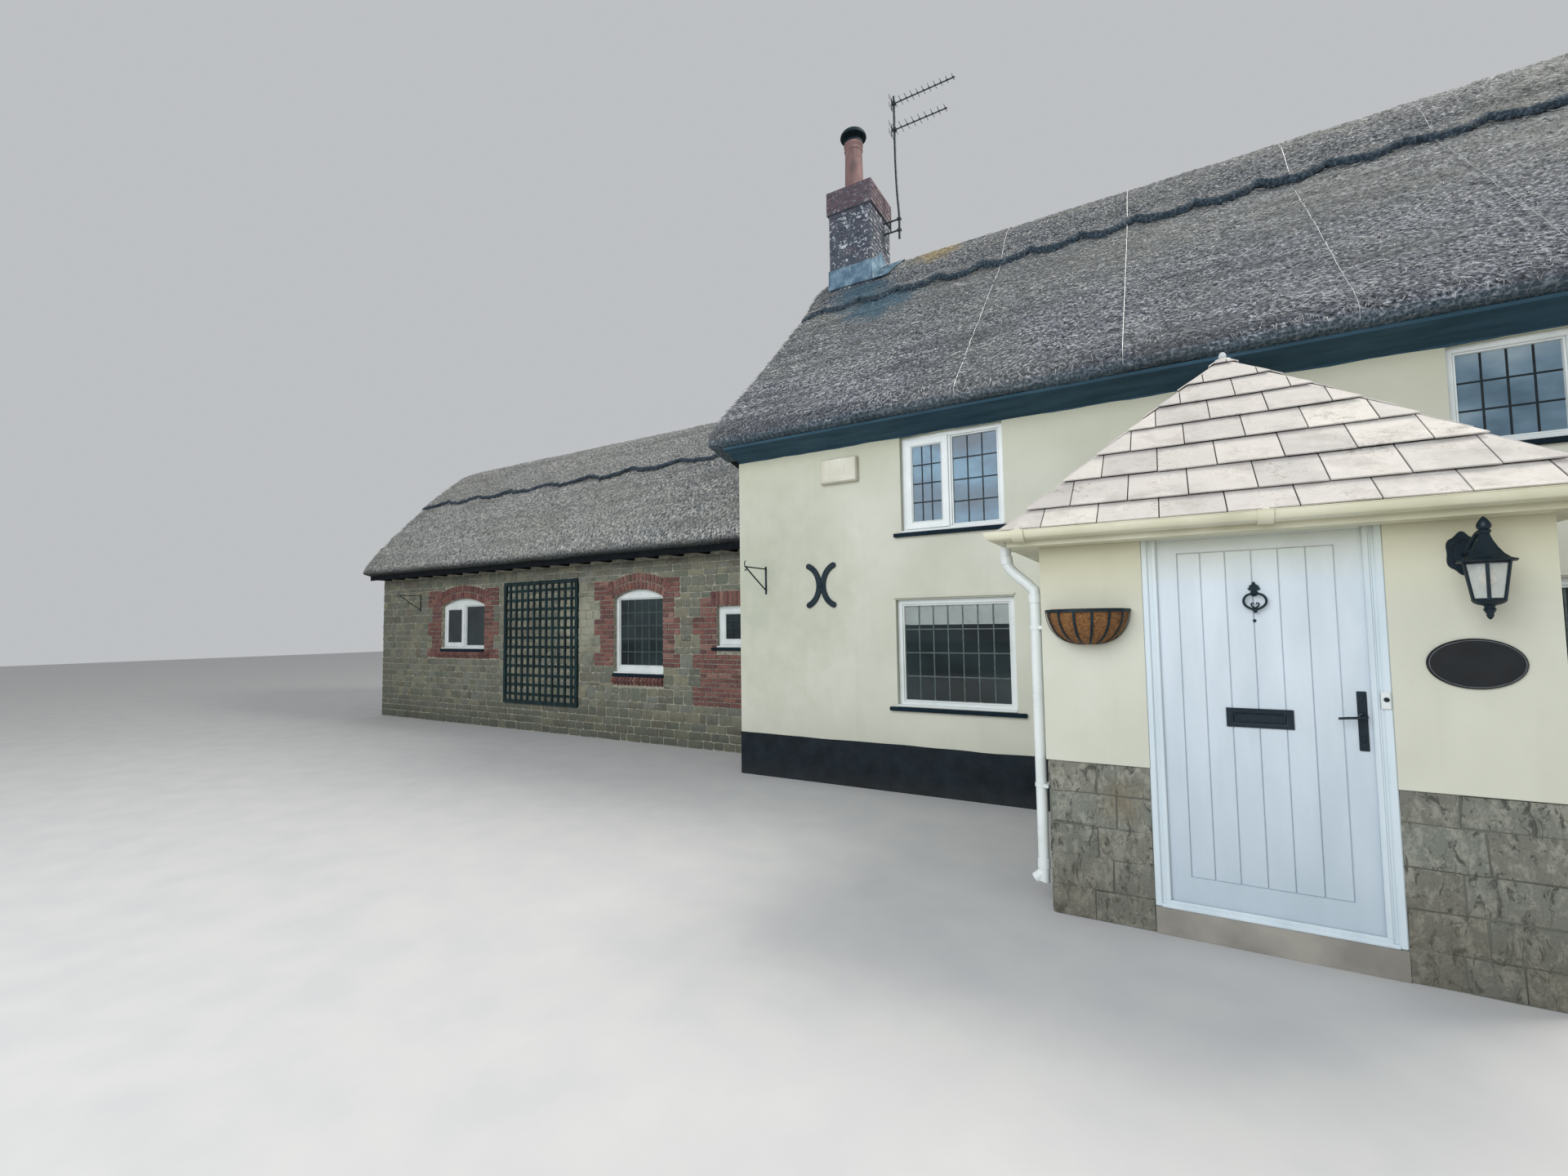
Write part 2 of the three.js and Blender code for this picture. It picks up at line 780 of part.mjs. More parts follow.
function buildWing() {
  const { left, right, front, back, wall, wallTop } = WING;
  const ridgeY = (front + back) / 2;
  const innerHalf = (back - front) / 2 - wall;
  place('wing_floor', box(left + wall, right, front + wall, back - wall, 0, FLOOR_TOP), CONCRETE);
  place(
    'wing_front_wall',
    cut(
      box(left, right, front, front + wall, 0, wallTop),
      ...holes(['wingLeft', 'wingMiddle', 'wingRight'], front - 1, front + wall + 1),
    ),
    STONE,
  );
  place(
    'wing_back_wall',
    cut(box(left, right, back - wall, back, 0, wallTop), ...holes(['wingBack'], back - wall - 1, back + 1)),
    STONE,
  );
  place(
    'wing_gable_wall',
    alongX(gableOutline(innerHalf, ridgeY, wallTop, WING.roofApexInside - 5), left, left + wall),
    STONE,
  );
  const under = [
    [back - wall, wallTop + GAP],
    [ridgeY, WING.roofApexInside],
    [front + wall, wallTop + GAP],
  ];
  place(
    'wing_thatch',
    thatch(wingSlope, ridgeY, under, left - WING.verge, right - GAP, 'left'),
    THATCH,
  );
  place(
    'wing_ridge',
    ridgeCap(wingSlope(0), ridgeY, WING_RIDGE, left - WING.verge + 60, right - GAP, false),
    THATCH_RIDGE,
  );
  ['front', 'back'].forEach((side, i) => {
    const out = i === 0 ? -1 : 1;
    const face = i === 0 ? front : back;
    const span = (near, far) => [face + out * near, face + out * far].sort((a, b) => a - b);
    const { boardIn, boardOut, bottom, top, spacing, halfWidth } = RAFTERS;
    const pieces = [box(left, right - 1, ...span(boardIn, boardOut), bottom, top + 12)];
    for (let x = left + spacing / 2; x < right - halfWidth; x += spacing) {
      pieces.push(box(x - halfWidth, x + halfWidth, ...span(0, boardIn + 5), bottom, top));
    }
    place(`wing_${side}_rafters`, join(...pieces), BLACK_PAINT);
  });
}

// The porch

function mirroredPlan(points) {
  return points.map(([x, y]) => [-x, y]).reverse();
}

function hippedSolid(halfWidth, frontY, backY, baseZ, apexY, apexZ, upstand) {
  const ridge = [[0, apexY, apexZ], [0, backY, apexZ]];
  const low = [[-halfWidth, frontY], [halfWidth, frontY], [halfWidth, backY], [-halfWidth, backY]];
  const vertices = [
    ...low.map(([x, y]) => [x, y, baseZ]),
    ...low.map(([x, y]) => [x, y, baseZ + upstand]),
    ...ridge,
  ];
  const faces = [
    [0, 3, 2], [0, 2, 1],
    [0, 1, 5], [0, 5, 4],
    [1, 2, 6], [1, 6, 5],
    [3, 0, 4], [3, 4, 7],
    [2, 3, 7], [2, 7, 6], [6, 7, 9],
    [4, 5, 8],
    [5, 6, 9], [5, 9, 8],
    [7, 4, 8], [7, 8, 9],
  ];
  const geometry = new THREE.BufferGeometry();
  geometry.setAttribute('position', new THREE.Float32BufferAttribute(vertices.flat(), 3));
  geometry.setIndex(faces.flat());
  return geometry;
}

function buildPorch() {
  const { halfWidth, front, wall, wallTop, baseTop, baseStep, eavesX, eavesY, eavesZ, apexY, apexZ } = PORCH;
  const back = frontFace;
  const frameHalf = DOOR.halfWidth + DOOR.clear + DOOR.frameFace;
  const frameLeft = DOOR.x - frameHalf;
  const frameRight = DOOR.x + frameHalf;
  place(
    'porch_floor',
    join(
      box(-halfWidth + wall, halfWidth - wall, front + wall, back, 0, FLOOR_TOP),
      box(frameLeft, frameRight, front, front + wall, 0, FLOOR_TOP),
      box(-INNER_DOORWAY.halfWidth, INNER_DOORWAY.halfWidth, back, frontInner, 0, FLOOR_TOP),
    ),
    CONCRETE,
  );
  const wallPlan = (jamb, step) => [
    [-halfWidth + step, back],
    [-halfWidth + step, front + step],
    [jamb, front + step],
    [jamb, front + wall],
    [-halfWidth + wall, front + wall],
    [-halfWidth + wall, back],
  ];
  const leftWall = join(
    alongZ(outline(wallPlan(frameLeft, baseStep)), 0, baseTop),
    alongZ(outline(wallPlan(frameLeft, 0)), baseTop, wallTop),
  );
  const rightWall = join(
    alongZ(outline(mirroredPlan(wallPlan(-frameRight, baseStep))), 0, baseTop),
    alongZ(outline(mirroredPlan(wallPlan(-frameRight, 0))), baseTop, wallTop),
  );
  place('porch_wall_left', leftWall, CREAM_RENDER);
  place('porch_wall_right', rightWall, CREAM_RENDER);
  const headTop = DOOR.top + DOOR.clear + DOOR.frameFace;
  const lintelTop = wallTop + 60;
  place('porch_lintel', box(frameLeft, frameRight, front, front + wall, headTop, lintelTop), CREAM_RENDER);

  const shellTop = eavesZ - PORCH.roofDeep;
  const hollowHalf = halfWidth - 50;
  const sideRise = (apexZ - eavesZ) / eavesX;
  const frontRise = (apexZ - eavesZ) / (apexY - eavesY);
  const hollowApexZ = wallTop + hollowHalf * sideRise;
  const hollowFront = front + 50;
  const hollow = hippedSolid(
    hollowHalf,
    hollowFront,
    back + 10,
    shellTop - 20,
    hollowFront + (hollowApexZ - wallTop) / frontRise,
    hollowApexZ,
    wallTop - shellTop + 20,
  );
  const lowering = box(
    -halfWidth - GAP,
    halfWidth + GAP,
    front - GAP,
    back + 10,
    shellTop - 20,
    wallTop + GAP,
  );
  const overLintel = box(
    frameLeft - GAP,
    frameRight + GAP,
    front - 1,
    front + wall + GAP,
    shellTop,
    lintelTop + GAP,
  );
  const outer = hippedSolid(eavesX, eavesY, back - GAP, shellTop, apexY, apexZ, PORCH.roofDeep);
  place('porch_roof', cut(outer, hollow, lowering, overLintel), SLATE);

  const line = [[-eavesX, back - 1], [-eavesX, eavesY], [eavesX, eavesY], [eavesX, back - 1]];
  const soffitIn = eavesX - halfWidth - GAP;
  const { soffitZ, board } = FASCIA;
  const fascia = [
    [-soffitIn, soffitZ],
    [-2, soffitZ],
    [-2, shellTop - GAP],
    [-2 - board, shellTop - GAP],
    [-2 - board, soffitZ + board],
    [-soffitIn, soffitZ + board],
  ];
  place('porch_fascia', mitred(fascia, line), WHITE_PLASTIC);
  const arc = (radius, turns) => turns.map((t) => [
    GUTTER.radius + radius * Math.cos(t * Math.PI),
    GUTTER.z - radius * Math.sin(t * Math.PI),
  ]);
  const outerTurns = [1, 0.875, 0.75, 0.625, 0.5, 0.375, 0.25, 0.125, 0];
  const channel = [
    ...arc(GUTTER.radius, outerTurns),
    ...arc(GUTTER.radius - GUTTER.thick, outerTurns.slice().reverse()),
  ];
  place('porch_gutter', mitred(channel, line), WHITE_PLASTIC);
  const { x, topX, y, outletZ, neckZ, shoeZ, radius } = DOWNPIPE;
  place(
    'porch_downpipe',
    rodAlong(
      [
        [topX, y, outletZ],
        [topX, y, outletZ - 68],
        [topX + 26, y, outletZ - 148],
        [x - 20, y, neckZ + 70],
        [x, y, neckZ],
        [x, y, neckZ - 440],
        [x, y, shoeZ + 100],
        [x - 10, y, shoeZ + 40],
        [x - 50, y, shoeZ],
      ],
      disc(radius),
      30,
    ),
    WHITE_PLASTIC,
  );
}

// The front door

function buildDoor() {
  const { x: middle, halfWidth, bottom, top, front, thickness, clear, frameFront, frameBack } = DOOR;
  const back = front + thickness;
  const inner = halfWidth + clear;
  const outer = inner + DOOR.frameFace;
  const hinge = { x: middle - halfWidth - clear / 2, y: back + DOOR.hingeOut };
  const frameTop = top + clear + DOOR.frameFace;
  const frameBody = box(middle - outer, middle + outer, frameFront, frameBack, FLOOR_TOP, frameTop);
  const frameHole = box(
    middle - inner,
    middle + inner,
    frameFront - 1,
    frameBack + 1,
    bottom - clear,
    top + clear,
  );
  const { heights, radius, length, reach } = KNUCKLE;
  const frameKnuckles = heights.map((z) => join(
    bar([hinge.x, hinge.y, z - length], [hinge.x, hinge.y, z - GAP], radius),
    box(hinge.x - reach, hinge.x, frameBack - 1, hinge.y + 3, z - length, z - GAP),
  ));
  place('door_frame', join(cut(frameBody, frameHole), ...frameKnuckles), WHITE_PLASTIC);

  const leafKnuckles = heights.map((z) => join(
    bar([hinge.x, hinge.y, z], [hinge.x, hinge.y, z + length], radius),
    box(hinge.x, hinge.x + reach, back - 1, hinge.y + 3, z, z + length),
  ));
  const throughHole = (y0, y1) => (
    bar([LEVER.x, y0 - 5, LEVER.z], [LEVER.x, y1 + 5, LEVER.z], LEVER.hole, 12)
  );
  place(
    'door_leaf',
    join(
      cut(box(middle - halfWidth, middle + halfWidth, front, back, bottom, top), throughHole(front, back)),
      ...leafKnuckles,
    ),
    WHITE_PLASTIC,
  );

  const plateX = HANDLE_PLATE.halfWidth;
  const plateFace = front - HANDLE_PLATE.thick;
  place(
    'door_handle_plate',
    cut(
      box(LEVER.x - plateX, LEVER.x + plateX, plateFace, front, HANDLE_PLATE.z0, HANDLE_PLATE.z1),
      throughHole(plateFace, front),
    ),
    BLACK_IRON,
  );
  const grip = (y) => join(
    bar([LEVER.x, y - 10, LEVER.z], [LEVER.x, y + 10, LEVER.z], LEVER.hole - 1, 10),
    bar([LEVER.x, y, LEVER.z], [LEVER.x - LEVER.length, y, LEVER.z], LEVER.radius),
  );
  const spindleEnds = [front - LEVER.out - LEVER.tail, back + LEVER.out + LEVER.tail];
  const [from, to] = spindleEnds.map((y) => [LEVER.x, y, LEVER.z]);
  place(
    'door_lever',
    join(bar(from, to, LEVER.spindle, 12), grip(front - LEVER.out), grip(back + LEVER.out)),
    BLACK_IRON,
  );
  const letter = LETTER_PLATE;
  place(
    'letter_plate',
    box(letter.x0, letter.x1, front - letter.thick, front, letter.z0, letter.z1),
    BLACK_IRON,
  );

  const { x, z, ring, wire, out } = KNOCKER;
  const knockerY = front - out;
  const plate = { x0: x - 22, x1: x + 22, z0: z - 100, z1: z + 60, rise: 20 };
  place(
    'knocker_plate',
    cut(
      join(
        alongY(openingShape(plate), front - 6, front),
        box(x - 8, x + 8, knockerY - 12, front - 1, z - 13, z + 13),
        bar([x, front - 1, z - 2 * ring], [x, knockerY + wire + 5, z - 2 * ring], 7),
      ),
      bar([x - 20, knockerY, z], [x + 20, knockerY, z], wire + 2, 12),
    ),
    BLACK_IRON,
  );
  const loop = new THREE.TorusGeometry(ring, wire, 8, 20);
  turned(loop, [1, 0, 0], [0, 0, 1], [0, -1, 0]);
  loop.translate(x, knockerY, z - ring);
  place('knocker_ring', loop, BLACK_IRON);
}

// Fittings on the walls

function buildFittings() {
  const porchFace = PORCH.front;
  const lampY = porchFace - LANTERN.out;
  const lampX = LANTERN.x;
  const lantern = lathe(
    [
      [0, 1770],
      [16, 1778],
      [20, 1830],
      [58, 1855],
      [84, 2028],
      [113, 2036],
      [40, 2130],
      [17, 2162],
      [24, 2190],
      [24, 2215],
      [0, 2244],
    ],
    6,
    lampX,
    lampY,
  );
  const lampArm = rodAlong(
    [
      [LANTERN.plateX, porchFace - 5, LANTERN.plateZ],
      [LANTERN.plateX + 10, porchFace - 70, LANTERN.plateZ + 45],
      [lampX - 12, porchFace - 140, LANTERN.plateZ + 80],
      [lampX, lampY, LANTERN.plateZ + 75],
    ],
    disc(9),
    8,
  );
  const lampPlate = alongY(disc(LANTERN.plateRadius), porchFace - LANTERN.plateThick, porchFace - GAP);
  lampPlate.translate(LANTERN.plateX, 0, LANTERN.plateZ);
  place('wall_lantern', join(lantern, lampArm, lampPlate), BLACK_IRON);

  const plaque = new THREE.Shape();
  plaque.absellipse(PLAQUE.x, PLAQUE.z, PLAQUE.halfWidth, PLAQUE.halfHeight, 0, Math.PI * 2);
  place('name_plaque', alongY(plaque, porchFace - PLAQUE.thick, porchFace - GAP), BLACK_IRON);

  const basketTop = BASKET.top;
  const bowl = lathe(
    [
      [0, basketTop - 215],
      [110, basketTop - 190],
      [195, basketTop - 115],
      [240, basketTop],
      [222, basketTop],
      [182, basketTop - 105],
      [104, basketTop - 174],
      [0, basketTop - 197],
    ],
    20,
    BASKET.x,
    porchFace - GAP,
  );
  const behind = box(
    BASKET.x - 400,
    BASKET.x + 400,
    porchFace - GAP,
    porchFace + 600,
    basketTop - 400,
    basketTop + 100,
  );
  place('wall_basket', cut(bowl, behind), COIR);

  const halfStrap = TIE.width / 2;
  const strap = outline([
    [-halfStrap, -TIE.thick / 2],
    [halfStrap, -TIE.thick / 2],
    [halfStrap, TIE.thick / 2],
    [-halfStrap, TIE.thick / 2],
  ]);
  const tieY = frontFace - TIE.thick / 2 - GAP;
  const bow = (side) => rodAlong(
    [
      [TIE.x + side * TIE.spread, tieY, TIE.z + TIE.halfHeight],
      [TIE.x + side * TIE.spread * 0.45, tieY, TIE.z + TIE.halfHeight * 0.6],
      [TIE.x + side * TIE.waist, tieY, TIE.z],
      [TIE.x + side * TIE.spread * 0.45, tieY, TIE.z - TIE.halfHeight * 0.6],
      [TIE.x + side * TIE.spread, tieY, TIE.z - TIE.halfHeight],
    ],
    strap,
    10,
  );
  const boss = alongY(disc(TIE.boss), frontFace - TIE.thick - 4, frontFace - GAP);
  boss.translate(TIE.x, 0, TIE.z);
  const wallSpace = box(-5000, 0, frontFace - GAP, 0, 0, 4000);
  place('wall_tie', cut(join(bow(-1), bow(1), boss), wallSpace), BLACK_IRON);

  const alarm = ALARM_BOX;
  place(
    'alarm_box',
    box(alarm.x0, alarm.x1, frontFace - alarm.thick, frontFace, alarm.z0, alarm.z1),
    CREAM_PLASTIC,
  );

  const { x, z0, z1, armZ, out, width, bar: arm } = BRACKET;
  const tipY = frontFace - out;
  place(
    'basket_bracket',
    join(
      box(x - width / 2, x + width / 2, frontFace - 10, frontFace, z0, z1),
      box(x - arm / 2, x + arm / 2, tipY - 10, frontFace - 5, armZ - arm / 2, armZ + arm / 2),
      bar([x, frontFace - 14, z0 + 60], [x, tipY + 30, armZ], 7, 6),
      bar([x, tipY, armZ - 45], [x, tipY, armZ + 70], 7, 6),
    ),
    BLACK_IRON,
  );

  const { x0, x1, bottom, top, frame, lath, columns, rows } = TRELLIS;
  const faceY = WING.front;
  const members = [
    box(x0, x0 + frame, faceY - 45, faceY, bottom, top),
    box(x1 - frame, x1, faceY - 45, faceY, bottom, top),
    box(x0, x1, faceY - 45, faceY, top - frame, top),
    box(x0, x1, faceY - 45, faceY, bottom, bottom + frame),
  ];
  for (let i = 1; i < columns; i += 1) {
    const x = x0 + (x1 - x0) * i / columns;
    members.push(box(x - lath / 2, x + lath / 2, faceY - 30, faceY - 12, bottom + 10, top - 10));
  }
  for (let i = 1; i < rows; i += 1) {
    const z = bottom + (top - bottom) * i / rows;
    members.push(box(x0 + 10, x1 - 10, faceY - 20, faceY - 2, z - lath / 2, z + lath / 2));
  }
  place('trellis', join(...members), DARK_TIMBER);
}

function buildWindows() {
  const units = (names, faceY, out) => Object.entries(names).forEach(([opening, name]) => {
    windowUnit(name, WINDOWS[opening], faceY, out);
  });
  units({
    groundLeft: 'window_ground_left',
    groundRight: 'window_ground_right',
    upperLeft: 'window_upper_left',
    upperRight: 'window_upper_right',
  }, frontFace, -1);
  units({
    backGroundLeft: 'window_back_ground_left',
    backGroundRight: 'window_back_ground_right',
    backUpperLeft: 'window_back_upper_left',
    backUpperRight: 'window_back_upper_right',
  }, -frontFace, 1);
  units({
    wingLeft: 'window_wing_left',
    wingMiddle: 'window_wing_middle',
    wingRight: 'window_wing_right',
  }, WING.front, -1);
  units({ wingBack: 'window_wing_back' }, WING.back, 1);
}

buildHouseWalls();
buildWindows();
buildChimney();
buildAerial();
buildHouseRoof();
buildWing();
buildPorch();
buildDoor();
buildFittings();

export default cottage;
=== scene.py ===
# Looks for the thatched cottage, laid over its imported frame, with a plain studio round it.
# Metres, in the frame's own axes: the front faces -Y, the ground is z = 0.

import math
import random

import bmesh
import bpy
from mathutils import Matrix, Vector, noise


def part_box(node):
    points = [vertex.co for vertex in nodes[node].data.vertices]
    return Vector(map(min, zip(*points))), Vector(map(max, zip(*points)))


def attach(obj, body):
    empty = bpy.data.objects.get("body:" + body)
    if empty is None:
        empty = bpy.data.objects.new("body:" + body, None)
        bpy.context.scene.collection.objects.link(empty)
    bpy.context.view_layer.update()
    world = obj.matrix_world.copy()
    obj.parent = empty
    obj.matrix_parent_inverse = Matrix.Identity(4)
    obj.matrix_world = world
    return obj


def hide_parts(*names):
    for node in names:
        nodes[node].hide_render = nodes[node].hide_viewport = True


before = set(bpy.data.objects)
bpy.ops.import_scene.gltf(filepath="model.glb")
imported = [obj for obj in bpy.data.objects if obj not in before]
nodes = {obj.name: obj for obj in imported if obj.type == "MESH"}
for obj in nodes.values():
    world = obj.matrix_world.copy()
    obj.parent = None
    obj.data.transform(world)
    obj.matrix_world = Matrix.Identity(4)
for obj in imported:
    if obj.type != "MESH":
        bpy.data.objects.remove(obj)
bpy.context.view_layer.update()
print("frame loaded:", len(nodes), "nodes")

# Camera, where the photographer stood

photoCamera = {
    "place": (-0.411, -9.404, 1.786),
    "yaw": 30.746,     # degrees left of straight at the front wall
    "pitch": 3.293,
    "roll": -0.786,
    "lens": 14.955,    # mm, on a sensor 36 mm wide
}


def placeCamera(look):
    yaw, pitch, roll = (math.radians(look[name]) for name in ("yaw", "pitch", "roll"))
    ahead = Vector((-math.sin(yaw) * math.cos(pitch), math.cos(yaw) * math.cos(pitch), math.sin(pitch)))
    right = Vector((math.cos(yaw), math.sin(yaw), 0))
    up = right.cross(ahead)
    rolledRight = right * math.cos(roll) + up * math.sin(roll)
    rolledUp = up * math.cos(roll) - right * math.sin(roll)
    data = bpy.data.cameras.new("photoCamera")
    data.sensor_fit = "HORIZONTAL"
    data.sensor_width = 36
    data.lens = look["lens"]
    data.clip_start = 0.05
    data.clip_end = 300
    camera = bpy.data.objects.new("photoCamera", data)
    turn = Matrix((rolledRight, rolledUp, -ahead)).transposed().to_4x4()
    camera.matrix_world = Matrix.Translation(look["place"]) @ turn
    bpy.context.scene.collection.objects.link(camera)
    bpy.context.scene.camera = camera


placeCamera(photoCamera)

# Shader helpers


def linear(hexColour):
    channels = [int(hexColour[i:i + 2], 16) / 255 for i in (1, 3, 5)]
    return [c / 12.92 if c <= 0.04045 else ((c + 0.055) / 1.055) ** 2.4 for c in channels] + [1.0]


def setStops(ramp, stops):
    (firstAt, firstTone), *middle, (lastAt, lastTone) = stops
    ramp.elements[0].position, ramp.elements[0].color = firstAt, firstTone
    ramp.elements[1].position, ramp.elements[1].color = lastAt, lastTone
    for at, tone in middle:
        ramp.elements.new(at).color = tone


def add(tree, kind, settings=None, inputs=None):
    node = tree.nodes.new("ShaderNode" + kind)
    for name, value in (settings or {}).items():
        if name == "stops":
            setStops(node.color_ramp, value)
        else:
            setattr(node, name, value)
    for name, value in (inputs or {}).items():
        if isinstance(value, bpy.types.NodeSocket):
            tree.links.new(value, node.inputs[name])
        else:
            node.inputs[name].default_value = value
    return node


# Patterns. Sizes are real millimetres; stretch makes a pattern longer along x, y and z.


def noisy(size, detail=3.0, stretch=None, grain=0.5, bend=0.0):
    plan = {"kind": "noise", "size": size, "detail": detail, "grain": grain, "bend": bend}
    return {**plan, "stretch": stretch} if stretch else plan


def spot(x, y, z, size):
    return {"kind": "spot", "at": (x, y, z), "size": size}


island = {"kind": "island"}      # a random grey for each loose piece of a mesh
height = {"kind": "height"}      # metres above the ground
netting = {"kind": "edges", "size": 46, "turn": (0, 0, 45)}


def calculate(tree, operation, *values):
    return add(tree, "Math", {"operation": operation}, dict(enumerate(values))).outputs["Value"]


def drawPattern(tree, where, plan):
    kind = plan["kind"]
    if kind == "island":
        return add(tree, "NewGeometry").outputs["Random Per Island"]
    if kind == "height":
        place = add(tree, "TexCoord").outputs["Object"]
        return add(tree, "SeparateXYZ", inputs={"Vector": place}).outputs["Z"]
    if kind == "spot":       # distance from one place, over size, with a ragged edge
        place = add(tree, "TexCoord").outputs["Object"]
        ragged = add(tree, "TexNoise", inputs={"Vector": place, "Scale": 6.0, "Detail": 5.0}).outputs["Fac"]
        far = add(tree, "VectorMath", {"operation": "DISTANCE"}, {0: place, 1: plan["at"]}).outputs["Value"]
        far = calculate(tree, "DIVIDE", far, plan["size"] / 1000)
        return calculate(tree, "MULTIPLY_ADD", ragged, 1.6, far)
    if "stretch" in plan or "turn" in plan:
        where = add(tree, "Mapping", inputs={
            "Vector": where,
            "Rotation": [math.radians(a) for a in plan.get("turn", (0, 0, 0))],
            "Scale": [1 / s for s in plan.get("stretch", (1, 1, 1))],
        }).outputs["Vector"]
    inputs = {"Vector": where, "Scale": 1000 / plan["size"]}
    if kind == "noise":
        inputs.update({"Detail": plan["detail"], "Distortion": plan["bend"], "Roughness": plan["grain"]})
        return add(tree, "TexNoise", inputs=inputs).outputs["Fac"]
    if kind == "edges":
        inputs["Randomness"] = 0.0
        return add(tree, "TexVoronoi", {"feature": "DISTANCE_TO_EDGE"}, inputs).outputs["Distance"]
    inputs.update({"Scale": 500 / plan["size"], "Distortion": 6.0, "Detail": 2.0})
    return add(tree, "TexWave", {"bands_direction": "Y"}, inputs).outputs["Fac"]


# Thatch is patterned along its own slope: x, then up the slope, then out of it
def slopeSpace(tree, where, ridgeY):
    parts = add(tree, "SeparateXYZ", inputs={"Vector": where}).outputs
    away = calculate(tree, "ABSOLUTE", calculate(tree, "SUBTRACT", parts["Y"], ridgeY))
    folded = add(tree, "CombineXYZ", inputs={"X": parts["X"], "Y": away, "Z": parts["Z"]}).outputs["Vector"]
    leaning = add(tree, "Mapping", inputs={"Vector": folded, "Rotation": (math.radians(45), 0, 0)})
    return leaning.outputs["Vector"]


def makeFinish(name, look):
    material = bpy.data.materials.new(name)
    material.use_nodes = True
    tree = material.node_tree
    tree.nodes.clear()
    where = add(tree, "TexCoord").outputs["Object"]
    if "ridgeY" in look:
        where = slopeSpace(tree, where, look["ridgeY"])
    tones = [linear(tone) for tone in look["tones"]]
    low, high = look.get("spread", (0, 1) if look["pattern"] is island else (0.34, 0.66))
    stops = [(low + (high - low) * i / (len(tones) - 1), tone) for i, tone in enumerate(tones)]
    shade = drawPattern(tree, where, look["pattern"])
    colour = add(tree, "ValToRGB", {"stops": stops}, {"Fac": shade}).outputs["Color"]
    for tone, share, start, full, pattern in look.get("marks", ()):
        amount = add(tree, "MapRange", inputs={
            "Value": drawPattern(tree, where, pattern), "From Min": start, "From Max": full, "To Max": share,
        }).outputs["Result"]
        mixed = add(tree, "Mix", {"data_type": "RGBA"}, {0: amount, 6: colour, 7: linear(tone)})
        colour = mixed.outputs[2]
    shader = add(tree, "BsdfPrincipled", inputs={"Base Color": colour, **look.get("shader", {})})
    rough = add(tree, "MapRange", inputs={
        "Value": drawPattern(tree, where, look.get("wear", noisy(120))), "From Min": 0.3, "From Max": 0.7,
        "To Min": look["rough"][0], "To Max": look["rough"][1],
    }).outputs["Result"]
    tree.links.new(rough, shader.inputs["Roughness"])
    for i, (depth, pattern) in enumerate(look.get("relief", ())):
        inputs = {"Height": drawPattern(tree, where, pattern), "Distance": depth / 1000}
        if i:
            inputs["Normal"] = normal
        normal = add(tree, "Bump", inputs=inputs).outputs["Normal"]
    if "relief" in look:
        tree.links.new(normal, shader.inputs["Normal"])
    add(tree, "OutputMaterial", inputs={"Surface": shader.outputs["BSDF"]})
    return material


# Finishes. A mark is its tone, its share, the values of its pattern at which it starts and is full, and the
# pattern. A relief is its depth in mm and its pattern.

reedClumps = noisy(26, 2, (1.2, 1.0, 1))
# painted shade: a dark blue patch on the coat below the stack, and one on the ridge block under the lead
# flashing
paintedShadeBelowStack, paintedShadeUnderFlashing = spot(-3.85, -0.85, 6.4, 560), spot(-4.25, -0.6, 6.8, 480)
lichenPatch = spot(-3.2, -0.2, 7.38, 380)


def look(tones, pattern, rough, **more):
    return {"tones": tones.split(), "pattern": pattern, "rough": rough, **more}


